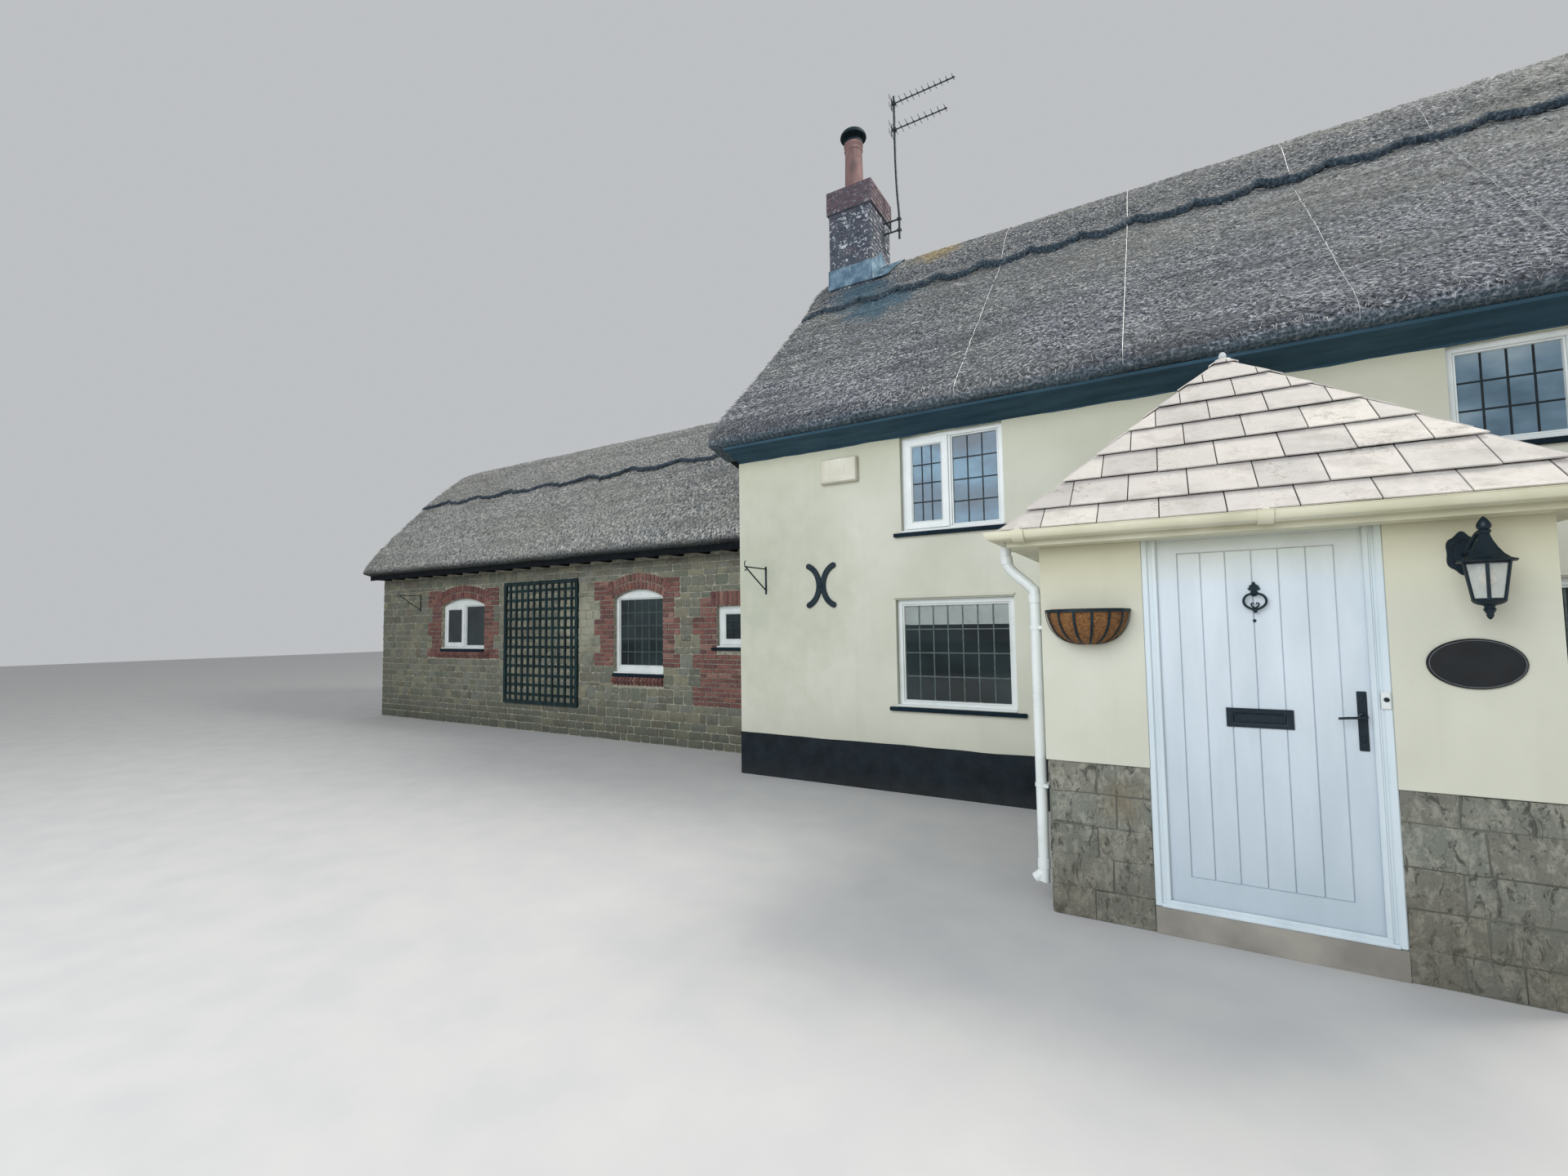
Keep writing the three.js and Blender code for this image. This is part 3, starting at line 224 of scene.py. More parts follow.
finishLooks = {
    # Masonry paint rolled on hand-floated lime render: chalky, a little cloudy, with a float's soft waves.
    "limeRender": look("#c0c1b1 #cccdbe", noisy(800, 4), (0.8, 0.95),
        marks=(("#a2a493", 0.14, 0.56, 0.8, noisy(260, stretch=(0.5, 0.5, 5))),
               # painted shade: the darker, greener spot at the wall's left end, the darker yellow band just
               # under the eaves, and the darkening towards the ground
               ("#a3a993", 0.5, 1.9, 0.9, spot(-5.0, -2.75, 2.2, 1500)), ("#b4b594", 0.4, 3.2, 3.8, height),
               ("#8b8a79", 0.3, 0.9, 0.2, height)),
        relief=((5.0, noisy(320, 2)), (0.8, noisy(16, 4)))),
    # Bitumen-black masonry paint brushed over the foot of the wall: even, dull, with mud splashed low down.
    "plinthPaint": look("#0a141b #131f27", noisy(180), (0.7, 0.9), shader={"Specular IOR Level": 0.3},
        marks=(("#3d3b35", 0.25, 0.2, 0.0, height),),
        relief=((0.8, noisy(14, 4)),)),
    # Weathered wheat reed thatch under wire netting: cut stem ends, grey with age, dark between. A stem is
    # 4 mm thick, which is too fine to show, so its clumps are drawn about 30 mm wide.
    "wheatReed": look("#0b1016 #242a32 #494e56 #737880 #b4b6ba", reedClumps, (0.9, 1.0), ridgeY=0.0,
        spread=(0.3, 0.7),
        marks=(("#2d3137", 0.5, 0.48, 0.62, noisy(200, 4, (6, 0.8, 1))),
               ("#62645b", 0.35, 0.46, 0.66, noisy(1300, 5)), ("#64675f", 0.3, 4.9, 6.6, height),
               # painted shade: the dark blue patch below the stack, and the dark band along the eaves' nose
               ("#2b4a5a", 0.9, 2.0, 1.3, paintedShadeBelowStack), ("#2a424c", 0.7, 4.07, 3.97, height),
               ("#c9ccd0", 0.13, 0.07, 0.0, netting)),
        relief=((12.0, reedClumps), (18.0, noisy(300, 3, (3.0, 0.8, 1))))),
    # The same reed bent over the ridge in a block: browner, with yellow lichen beside the chimney.
    "ridgeReed": look("#10141a #292e34 #4b5057 #717579 #a8a9a6", reedClumps, (0.9, 1.0), ridgeY=0.0,
        spread=(0.3, 0.7),
        marks=(("#62645a", 0.4, 0.46, 0.64, noisy(700, 5)), ("#927f4e", 0.6, 2.0, 1.3, lichenPatch),
               # painted shade: the dark blue patch on the block under the flashing
               ("#2b4a5a", 0.9, 2.0, 1.3, paintedShadeUnderFlashing), ("#c9ccd0", 0.13, 0.07, 0.0, netting)),
        relief=((12.0, reedClumps), (18.0, noisy(200)))),
    # The cut face along a ridge block's lower edge: reed drawn almost black, painted shade for the face in
    # its own shadow.
    "cutReed": look("#101d26 #21303b #3b4953 #656f76", noisy(28), (0.95, 1.0), spread=(0.3, 0.75),
        relief=((8.0, noisy(24)),)),
    # Newer reed on the wing: warmer, with short streaks down the slope. Its clumps are drawn 34 mm wide.
    "wingReed": look("#303234 #5a5c5d #858785 #a9a8a1 #d2cec2", noisy(32, 2, (0.9, 1.5, 1)), (0.9, 1.0),
        ridgeY=0.4, spread=(0.3, 0.7),
        marks=(("#5d5e5b", 0.5, 0.48, 0.66, noisy(300, 5, (3, 0.8, 1))),
               # painted shade: the dark band along the eaves' nose
               ("#767768", 0.3, 0.48, 0.66, noisy(1200, 4)), ("#20282b", 0.8, 3.07, 2.98, height)),
        relief=((12.0, noisy(32, 2, (0.9, 1.5, 1))), (16.0, noisy(260, 3, (2, 0.8, 1))))),
    # Single straws that stand out of the coat, bleached by the sun; drawn three times their real width.
    "strayStraw": look("#5c6065 #9c9ea1 #d8d8d6 #777a80", island, (0.8, 0.95), ridgeY=0.0,
        marks=(("#4a4e54", 0.6, 0.48, 0.62, noisy(200, 4, (6, 0.8, 1))), ("#8b8d83", 0.4, 4.9, 6.6, height),
               # painted shade: the dark blue patches by the stack
               ("#486a7a", 0.9, 2.0, 1.3, paintedShadeBelowStack), ("#486a7a", 0.9, 2.0, 1.3, paintedShadeUnderFlashing),
               ("#a08c58", 0.55, 2.0, 1.3, lichenPatch))),
    # Milled lead sheet, dressed by hand and gone pale blue-grey with carbonate.
    "milledLead": look("#3f5b6b #547184 #7790a0", noisy(160, 5), (0.5, 0.7), shader={"Metallic": 0.2},
        marks=(("#b3c3cb", 0.45, 0.58, 0.75, noisy(60, stretch=(1, 1, 3))),),
        relief=((5.0, noisy(110, 2)),)),
    # Lead weathered white where rain runs off it.
    "weatheredLead": look("#8f9aa0 #b3babd #c9cdcd", noisy(120, 5), (0.6, 0.8)),
    # Old soft red bricks, moulded by hand and burnt unevenly.
    "handmadeBrick": look("#573d3a #6b4641 #7c5349 #603f3e #87645a", island, (0.8, 0.95),
        marks=(("#3d302f", 0.5, 0.52, 0.72, noisy(60, 4)), ("#a39186", 0.35, 0.58, 0.72, noisy(40, 4))),
        relief=((2.4, noisy(22, 4)),)),
    # Chimney bricks, sooted to a dark plum, with crusts of white lichen.
    "sootedBrick": look("#3a434f #475059 #4c4e59 #3e4855 #55515c", island, (0.8, 0.95),
        marks=(("#2e333c", 0.55, 0.5, 0.68, noisy(220, 4)),
               ("#c3c9cc", 0.88, 0.555, 0.59, noisy(85, 6, grain=0.65, bend=1.5)),
               ("#5d484d", 0.72, 8.22, 8.3, height)),
        relief=((2.4, noisy(22, 4)),)),
    # Lime mortar, struck back from the face and weathered.
    "limeMortar": look("#7b7a6d #908e7e #a8a491", noisy(60, 5), (0.9, 1.0), relief=((2.5, noisy(12, 4)),)),
    "sootedMortar": look("#474d57 #595e68 #6a6d74", noisy(60, 5), (0.9, 1.0), relief=((2.5, noisy(12, 4)),)),
    # Greensand rubble, squared with a hammer: greenish grey to buff, each stone its own tone.
    "greensandRubble": look("#5a5d52 #6d6f62 #626759 #7b7a68 #70736a #666255 #84826d", island, (0.85, 1.0),
        marks=(("#4a4c44", 0.5, 0.5, 0.7, noisy(110, 5)), ("#a19d89", 0.4, 0.58, 0.7, noisy(45, 4)),
               # darker towards the foot: moss, and painted shade
               ("#a5a591", 0.6, 1.9, 1.1, spot(-8.8, -1.75, 1.9, 700)), ("#41443a", 0.6, 0.7, 0.1, height)),
        relief=((9.0, noisy(70)), (2.0, noisy(14, 4)))),
    # Split stone round the porch's foot: brown-grey, with its rough riven face outwards.
    "rivenStone": look("#70746a #7d8177 #77776c #858578", island, (0.85, 1.0),
        marks=(("#a5a496", 0.6, 0.48, 0.58, noisy(60, 8, (0.8, 0.8, 1.4), 0.75)),
               ("#3a3b35", 0.8, 0.53, 0.6, noisy(90, 9, (0.7, 0.7, 1.5), 0.75, 1.5)),
               ("#7a684c", 0.5, 1.9, 1.0, spot(-0.72, -5.04, 0.72, 150)),
               ("#5f5849", 0.4, 0.6, 0.2, height)),
        relief=((30.0, noisy(90, 9, (0.8, 0.8, 1.4), 0.7)), (4.0, noisy(14, 4)))),
    # Old slates, bleached pinkish white by sun and lichen, dirty along their edges.
    "bleachedSlate": look("#b6b2ad #bfbab4 #afaba7 #c6c2ba #bab5b0", island, (0.7, 0.9),
        marks=(("#ddd8ce", 0.4, 0.5, 0.7, noisy(130, 6)),
               ("#8b857d", 0.5, 0.5, 0.72, noisy(200, 7, grain=0.65)),
               ("#4d4944", 0.7, 0.53, 0.62, noisy(260, 12, grain=0.95))),
        relief=((4.0, noisy(50, 5)), (1.2, noisy(10)))),
    # Tarred felt and boards under the slates, all but hidden.
    "roofingFelt": look("#1f2225 #2a2d31", noisy(50), (0.85, 0.95)),
    # Softwood boards under old black paint: blue-black, its gloss gone, the grain just showing.
    "blackPaintedSoftwood": look("#041620 #0a222e", noisy(90, stretch=(6, 1, 1)), (0.7, 0.9),
        shader={"Specular IOR Level": 0.2},
        relief=((0.6, noisy(9, stretch=(12, 1, 1))),)),
    # The eaves boards: the same black paint, drawn slate blue, which is painted sky reflection on it.
    "blackPaintPaintedSkyReflection": look("#2a4350 #375261", noisy(90, stretch=(6, 1, 1)), (0.75, 0.95),
        shader={"Specular IOR Level": 0.2},
        relief=((0.6, noisy(9, stretch=(12, 1, 1))),)),
    # Rafter feet and the board under the wing's eaves: sawn softwood, black, and darker still with painted
    # shade under the eaves.
    "blackRafterWithPaintedShade": look("#02070b #081015", noisy(80, stretch=(1, 6, 1)), (0.75, 0.95),
        shader={"Specular IOR Level": 0.2},
        relief=((0.8, noisy(8, stretch=(1, 12, 1))),)),
    # Trellis laths sawn rough and stained blue-black.
    "stainedLath": look("#07191a #0f2527 #173032", noisy(70, stretch=(1, 1, 6)), (0.65, 0.85),
        shader={"Specular IOR Level": 0.3},
        relief=((0.8, noisy(7, stretch=(1, 1, 12))),)),
    # uPVC, extruded and wiped clean: white, smooth, with a soft gloss and a trace of dust.
    "extrudedPvc": look("#cfd5d2 #dbe0dd", noisy(240), (0.25, 0.38), shader={"IOR": 1.53},
        marks=(("#b6babb", 0.25, 0.6, 0.8, noisy(60, 4)),),
        relief=((0.6, noisy(300)),)),
    # Composite door skin, moulded with a faint oak grain under white.
    "mouldedDoorSkin": look("#c0cbd2 #ccd6dd", noisy(160, stretch=(1, 1, 4)), (0.36, 0.5),
        shader={"IOR": 1.5},
        # painted shade: darker towards the foot of the door, and a yellowish tint at its head under the
        # gutter
        marks=(("#8fa3ae", 0.45, 1.5, 0.3, height), ("#c9c8ac", 0.6, 1.95, 2.25, height)),
        relief=((0.35, noisy(5, 3, (1, 1, 14))), (0.8, noisy(300)))),
    # Door frame: PVC wrapped in a foil as pale a blue-grey as the door, with a soft shine.
    "foilWrappedPvc": look("#bfccd2 #cbd7dc", noisy(160, stretch=(1, 1, 5)), (0.35, 0.48),
        shader={"IOR": 1.53},
        # the yellowish tint at the head is painted shade under the gutter
        marks=(("#c9c8ac", 0.6, 1.95, 2.3, height),),
        relief=((0.25, noisy(5, 3, (1, 1, 14))),)),
    # Cream PVC gutter and fascia: moulded, dulled by weather, streaked underneath.
    "weatheredPvc": look("#c7c4a7 #d6d3bb", noisy(300, 4), (0.35, 0.55), shader={"IOR": 1.53},
        marks=(("#a19c86", 0.4, 0.56, 0.76, noisy(120, 5, (3, 3, 1))),)),
    # Float glass over a dark room: its dark tones are the room's shade painted into the glass.
    "roomGlass": look("#141f21 #223033 #2b3a3b", noisy(500, 4), (0.02, 0.05), wear=noisy(500),
        shader={"IOR": 1.52, "Alpha": 0.72}),
    # The same glass upstairs, its blue tones a painted reflection of the bright sky.
    "skyGlass": look("#224456 #356078 #508099", noisy(420, 3, (1.6, 1, 1)), (0.03, 0.08), wear=noisy(500),
        shader={"IOR": 1.52, "Alpha": 0.93}),
    # The same glass, its pale tones a painted reflection of cloud.
    "cloudGlass": look("#4a6272 #6b8393 #93a6b0", noisy(420, 4, (1.6, 1, 1)), (0.03, 0.08), wear=noisy(500),
        shader={"IOR": 1.52, "Alpha": 0.93}),
    # Clear glass: the lantern's panes, and the strip of a window with a pale blind close behind it.
    "clearGlass": look("#cfd6d2 #e3e8e4", noisy(30), (0.03, 0.1), shader={"IOR": 1.52, "Alpha": 0.28}),
    # Blown bulb, pearl white inside.
    "pearlBulb": look("#d9c6a8 #eadfcb", noisy(20), (0.15, 0.25), shader={"IOR": 1.5}),
    # Lead strip stuck on the glass; the pale copy, used over a dark room, is the same lead with painted
    # light on it.
    "leadStrip": look("#0f191d #1b272c", noisy(30), (0.45, 0.6), shader={"Metallic": 0.5}),
    "leadStripPaintedLight": look("#3d4a48 #566360", noisy(30), (0.45, 0.6), shader={"Metallic": 0.3}),
    # Forged and cast iron under black paint: a low sheen, slightly lumpy.
    "paintedIron": look("#051a22 #0b2731", noisy(25), (0.5, 0.7), shader={"Specular IOR Level": 0.3},
        relief=((0.5, noisy(9)),)),
    # Die-cast furniture, powder-coated black.
    "powderCoat": look("#04151e #09212c", noisy(15), (0.35, 0.5), shader={"Specular IOR Level": 0.35},
        relief=((0.08, noisy(3, 2)),)),
    # Enamelled plate: black, dulled by weather, with a thin worn line round it.
    "blackEnamel": look("#04090d #0a1116", noisy(80), (0.3, 0.4)),
    "wornEnamel": look("#5c6368 #747b80", noisy(40), (0.2, 0.3)),
    # Coconut fibre pressed into a liner: brown, matted, hairy.
    "pressedCoir": look("#53361f #7c5531 #a0733f", noisy(14, 6, bend=2.0), (0.9, 1.0),
        relief=((6.0, noisy(10, 5, bend=3.0)),)),
    # Injection-moulded ABS, gone slightly yellow out of doors.
    "agedAbs": look("#c3c1ad #cfcdbc", noisy(150), (0.4, 0.55), shader={"IOR": 1.54},
        marks=(("#99937b", 0.35, 0.58, 0.78, noisy(60, stretch=(1, 1, 4))),)),
    # Thrown terracotta, fired hard and sooted near its mouth.
    "firedClay": look("#6b5452 #7b5f5c #876c6a", noisy(130, 5, (1, 1, 2)), (0.75, 0.9),
        marks=(("#4f474a", 0.55, 0.5, 0.7, noisy(160, stretch=(1, 1, 3))),),
        relief=((0.8, noisy(12, stretch=(4, 4, 0.5))),)),
    # Drawn aluminium tube, dulled by rain.
    "drawnAluminium": look("#33393e #4b5257", noisy(60), (0.4, 0.6), shader={"Metallic": 0.9}),
    # Galvanised wire holding the thatch.
    "galvanisedWire": look("#a6aaac #c2c4c4", noisy(60), (0.4, 0.55), shader={"Metallic": 0.4}),
    # Floated concrete floor.
    "floatedConcrete": look("#7f7c74 #98948a", noisy(260, 6), (0.8, 0.95), relief=((0.8, noisy(20, 4)),)),
    # Planed softwood boards, oiled; the rings of the grain are about 60 mm apart.
    "planedBoards": look("#7b5733 #96703f #a98352", {"kind": "waves", "size": 60, "stretch": (8, 1, 1)},
        (0.4, 0.6), spread=(0.0, 1.0)),
    # Polyester roller blind: a plain fine weave, too fine to show, drawn as ribs 6 mm apart.
    "wovenBlind": look("#3a655b #4c766b", noisy(6, stretch=(40, 1, 1)), (0.85, 0.95),
        relief=((0.4, noisy(6, stretch=(40, 1, 1))),)),
    # Pale paper rolled out under the cottage: matt, almost even.
    "studioFloor": look("#bababa #c0c0be", noisy(400), (0.85, 0.95)),
}

# The porch's lower wall shows only in the joints between its stones, so there the render gives way to mortar
limeLook = finishLooks["limeRender"]
finishLooks["renderOverStone"] = {**limeLook, "marks": limeLook["marks"] + (
    # the yellowish band at the top of the porch walls is painted shade under the gutter
    ("#c8c096", 0.6, 1.8, 2.32, height), ("#65675d", 1.0, 0.934, 0.926, height),
)}
finishes = {name: makeFinish(name, look) for name, look in finishLooks.items()}
print("finishes made:", len(finishes))

# Mesh helpers. A shape is a list of points and a list of faces.


def newShape():
    return {"points": [], "faces": []}


def addPart(shape, points, faces):
    start = len(shape["points"])
    shape["points"].extend(points)
    shape["faces"].extend([start + i for i in face] for face in faces)


# A skin over loops that all have the same number of points
def addLoops(shape, loops, closed=True, ring=False):
    count = len(loops[0])
    points = [p for loop in loops for p in loop]
    faces = []
    for i in range(len(loops) if ring else len(loops) - 1):
        here, there = i * count, (i + 1) % len(loops) * count
        for j in range(count if closed else count - 1):
            k = (j + 1) % count
            faces.append((here + j, here + k, there + k, there + j))
    if closed and not ring:
        faces += [range(count), range(len(points) - count, len(points))]
    addPart(shape, points, faces)


def roundSection(radius, sides=8, turn=0.0):
    angles = [turn + 2 * math.pi * i / sides for i in range(sides)]
    return [(radius * math.cos(a), radius * math.sin(a)) for a in angles]


# A bar's section: across, through, with its corners taken off
def flatSection(across, through, corner=0.002):
    a, b, c = across / 2, through / 2, corner
    half = [(-a + c, -b), (a - c, -b), (a, -b + c), (a, b - c)]
    return half + [(-u, -v) for u, v in half]


# A section carried along a path; up is the way its second axis leans. thin gives its size along the way.
def addSweep(shape, path, section, ring=False, up=(0, 0, 1), thin=None):
    path = [Vector(p) for p in path]
    count = len(path)
    loops = []
    side = None
    for i, here in enumerate(path):
        before = path[i - 1] if i or ring else here
        after = path[(i + 1) % count] if ring or i + 1 < count else here
        along = (after - before).normalized()
        if side is None:
            side = along.cross(Vector(up))
            if side.length < 0.05:
                side = along.cross(Vector((1, 0, 0)))
        side = (side - along * side.dot(along)).normalized()
        other = side.cross(along)
        size = thin(i / (count - 1)) if thin else 1
        loops.append([here + side * a * size + other * b * size for a, b in section])
    addLoops(shape, loops, ring=ring)


# A smooth path through a few points
def smoothPath(points, perPart=6, ring=False):
    points = [Vector(p) for p in points]
    last = len(points) - 1
    path = []
    for i in range(last + 1 if ring else last):
        spots = [(i + k) % (last + 1) if ring else min(max(i + k, 0), last) for k in (-1, 0, 1, 2)]
        a, b, c, d = (points[spot] for spot in spots)
        for step in range(perPart):
            t = step / perPart
            path.append(0.5 * (2 * b + (c - a) * t + (2 * a - 5 * b + 4 * c - d) * t * t
                               + (3 * b - 3 * c + d - a) * t ** 3))
    return path if ring else path + [points[-1]]


# A turned piece: its profile lists radius and height above the place, along the axis
def addLathe(shape, profile, place, axis=(0, 0, 1), sides=20, turn=0.0):
    along = Vector(axis).normalized()
    side = Vector((1, 0, 0)) if abs(along.z) > 0.99 else along.orthogonal().normalized()
    other = along.cross(side)
    ways = [side * a + other * b for a, b in roundSection(1, sides, turn)]
    addLoops(shape, [[Vector(place) + along * h + way * max(r, 0.0002) for way in ways] for r, h in profile])


blockCorners = [(x, y, z) for x in (-1, 1) for y in (-1, 1) for z in (-1, 1)]


# Each corner is three points, one for each face it touches
def blockFaces():
    faces = [range(i * 3, i * 3 + 3) for i in range(8)]
    around = ((-1, -1), (1, -1), (1, 1), (-1, 1))
    for axis in range(3):
        first, second = [a for a in range(3) if a != axis]

        def cornerAt(sign, a, b):
            corner = [a, b]
            corner.insert(axis, sign)
            return blockCorners.index(tuple(corner)) * 3

        faces += [[cornerAt(sign, a, b) + axis for a, b in around] for sign in (-1, 1)]
        for a, b in around:
            low, high = cornerAt(-1, a, b), cornerAt(1, a, b)
            faces.append((low + first, low + second, high + second, high + first))
    return faces


blockSkin = blockFaces()


# A block with its edges taken off. into places it; with dice its corners stray by up to 1.5 mm.
def addBlock(shape, low, high, bevel=0.003, into=None, dice=None):
    middle = Vector([(a + b) / 2 for a, b in zip(low, high)])
    half = [abs(b - a) / 2 for a, b in zip(low, high)]
    bevel = min(bevel, *(h * 0.8 for h in half))
    points = []
    for corner in blockCorners:
        shift = [dice.uniform(-0.0015, 0.0015) if dice else 0 for _ in range(3)]
        for axis in range(3):
            size = [h - (0 if i == axis else bevel) for i, h in enumerate(half)]
            point = middle + Vector([c * s + move for c, s, move in zip(corner, size, shift)])
            points.append(into @ point if into else point)
    addPart(shape, points, blockSkin)


# A flat outline in x and z, given thickness along y, with its front edge taken off
def addPlate(shape, outline, y0, y1, bevel=0.003):
    midX, midZ = (sum(p[i] for p in outline) / len(outline) for i in (0, 1))
    slim = []
    for x, z in outline:
        away = Vector((midX - x, 0, midZ - z))
        slim.append(Vector((x, y0, z)) + away.normalized() * min(bevel, away.length / 2))
    edge = y0 + math.copysign(bevel, y1 - y0)
    addLoops(shape, [[(x, y1, z) for x, z in outline], [(x, edge, z) for x, z in outline], slim])


# A frame round a rectangle with mitred corners. Its section lists how far in from outer to inner each
# point lies, then an extra shift in metres, then y.
def addFrame(shape, outer, inner, section):
    loops = []
    for share, extra, y in section:
        x0, x1, z0, z1 = grown([a + (b - a) * share for a, b in zip(outer, inner)], -extra)
        loops.append([(x0, y, z0), (x1, y, z0), (x1, y, z1), (x0, y, z1)])
    addLoops(shape, loops, ring=True)


# A rectangle of x0, x1, z0, z1, made larger by a margin on every side
def grown(sides, margin):
    x0, x1, z0, z1 = sides
    return x0 - margin, x1 + margin, z0 - margin, z1 + margin


def frontOf(low, high):
    return low.x, high.x, low.z, high.z


def link(name, data):
    thing = bpy.data.objects.new(name, data)
    bpy.context.scene.collection.objects.link(thing)
    return thing


# A piece of the model, smooth where it bends by less than so many degrees, in place of one of the nodes
def piece(name, shape, finish, replaces=None, smooth=None, body="building"):
    mesh = bpy.data.meshes.new(name)
    mesh.from_pydata([tuple(p) for p in shape["points"]], [], shape["faces"])
    work = bmesh.new()
    work.from_mesh(mesh)
    bmesh.ops.recalc_face_normals(work, faces=work.faces)
    work.to_mesh(mesh)
    work.free()
    if smooth:
        mesh.shade_smooth()
        mesh.set_sharp_from_angle(angle=math.radians(smooth))
    mesh.materials.append(finishes[finish])
    thing = link(name, mesh)
    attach(thing, body)
    if replaces:
        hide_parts(replaces)
    return thing


# A roughness in three dimensions, about -1 to 1, at a size in metres
def lump(point, size, seed=0.0):
    return noise.noise(point / size + Vector((seed, seed * 0.7, -seed)))


# Finishes on the frame's own nodes

nodeFinishes = {
    "limeRender": ("front_wall_left", "front_wall_right", "front_wall_over_door", "back_wall",
                   "left_gable_wall", "right_gable_wall", "porch_lintel"),
    "renderOverStone": ("porch_wall_left", "porch_wall_right"),
    "blackPaintPaintedSkyReflection": ("front_eaves_board", "back_eaves_board"),
    "blackRafterWithPaintedShade": ("wing_front_rafters", "wing_back_rafters"),
    "limeMortar": ("wing_front_wall", "wing_back_wall", "wing_gable_wall"),
    "sootedMortar": ("chimney",),
    "floatedConcrete": ("main_floor", "wing_floor", "porch_floor"),
    "planedBoards": ("upper_floor",),
    "weatheredPvc": ("porch_fascia",),
    "foilWrappedPvc": ("door_frame",),
    "roofingFelt": ("porch_roof",),
    "stainedLath": ("trellis",),
}

for nodeFinish, nodeNames in nodeFinishes.items():
    for nodeName in nodeNames:
        nodes[nodeName].data.materials.clear()
        nodes[nodeName].data.materials.append(finishes[nodeFinish])

# Thatch


# Corners cut twice, then points an even pitch apart
def evenLine(points, pitch):
    points = [Vector(p) for p in points]
    for _ in range(2):
        cut = [points[0]]
        for a, b in zip(points, points[1:]):
            cut += [a.lerp(b, 0.25), a.lerp(b, 0.75)]
        points = cut + [points[-1]]
    spans = [(b - a).length for a, b in zip(points, points[1:])]
    total = sum(spans)
    steps = max(2, round(total / pitch))
    line = []
    walked, part = 0.0, 0
    for i in range(steps + 1):
        goal = total * i / steps
        while part < len(spans) - 1 and walked + spans[part] < goal:
            walked += spans[part]
            part += 1
        line.append(points[part].lerp(points[part + 1], min(1.0, (goal - walked) / spans[part])))
    return line


# Both slopes as (y, z, share of the way up); the front is finer than the back, which the photo hides
def coatLine(coat):
    front, back = (evenLine(coat["slope"], coat[pitch]) for pitch in ("pitch", "backPitch"))
    line = [(coat["ridgeY"] - p.x, p.y, i / (len(front) - 1)) for i, p in enumerate(front)]
    behind = [(coat["ridgeY"] + p.x, p.y, i / (len(back) - 1)) for i, p in enumerate(back)]
    return line + behind[-2::-1]


def outwards(line, i):
    a, b = line[max(i - 1, 0)], line[min(i + 1, len(line) - 1)]
    way = Vector((0, b[0] - a[0], b[1] - a[1])).normalized()
    return Vector((0, -way.z, way.y))


# Places along a roof, closer together where its ends are rounded over 120 mm
def stations(coat):
    x0, x1 = coat["left"], coat["right"]
    steps = round((x1 - x0) / coat["pitch"])
    places = {round(x0 + (x1 - x0) * i / steps, 4) for i in range(steps + 1)}
    for edge, way in ((x0, 0.12), (x1, -0.12))[:2 if coat["bothEnds"] else 1]:
        places.update(round(edge + way * t, 4) for t in (0.06, 0.14, 0.26, 0.42, 0.64))
    return sorted(places)


# 0 well along a roof, rising to 1 at its rounded ends
def nearEnd(coat, x, reach):
    far = x - coat["left"]
    if coat["bothEnds"]:
        far = min(far, coat["right"] - x)
    return max(0.0, 1 - far / reach)


# Slopes are lists of (distance from the ridge, height), from the eaves up
houseCoat = {
    "left": -5.25, "right": 5.25, "ridgeY": 0.0, "bothEnds": True, "pitch": 0.027, "backPitch": 0.07,
    "slope": [(2.75, 3.857), (3.06, 3.952), (3.135, 3.975), (3.15, 4.04), (3.07, 4.19), (2.65, 4.60),
              (0, 7.20)],
    "under": [(2.40, 3.857), (0, 6.74)],
    "grain": 0.011,   # how rough the cut ends stand
    "seed": 3.0,
}
wingCoat = {
    "left": -15.2, "right": -5.0, "ridgeY": 0.4, "bothEnds": False, "pitch": 0.036, "backPitch": 0.08,
    "slope": [(2.12, 2.90), (2.49, 2.962), (2.535, 2.985), (2.545, 3.045), (2.46, 3.20), (2.30, 3.41),
              (1.25, 4.58), (0.4, 5.33), (0, 5.56)],
    "under": [(1.70, 2.902), (0, 5.07)],
    "grain": 0.013,
    "seed": 8.0,
}
thatchSway = 0.03     # how far the eaves wander up and down


def thatchGrid(coat):
    line = coatLine(coat)
    outs = [outwards(line, i) for i in range(len(line))]
    seed, grain = coat["seed"], coat["grain"]
    dice = random.Random(int(seed))
    grid = []
    for x in stations(coat):
        inset = 0.09 * (1 - math.sqrt(max(0.0, 1 - nearEnd(coat, x, 0.12) ** 2)))
        row = []
        for (y, z, share), out in zip(line, outs):
            point = Vector((x, y, z))
            free = min(1.0, max(0.0, (share - 0.05) / 0.05))
            low = max(0.0, 1 - share * 4)
            rough = lump(point, 1.3, seed) * 0.022 + lump(point, 0.3, seed) * 0.009
            rough += lump(point, 0.055, seed) * grain
            rough += dice.uniform(-0.3, 0.3) * grain
            point += out * (rough * free - inset)
            point.z += thatchSway * low * lump(Vector((x, 0, 0)), 0.7, seed) * min(1, share * 20)
            row.append(point)
        grid.append(row)
    return grid


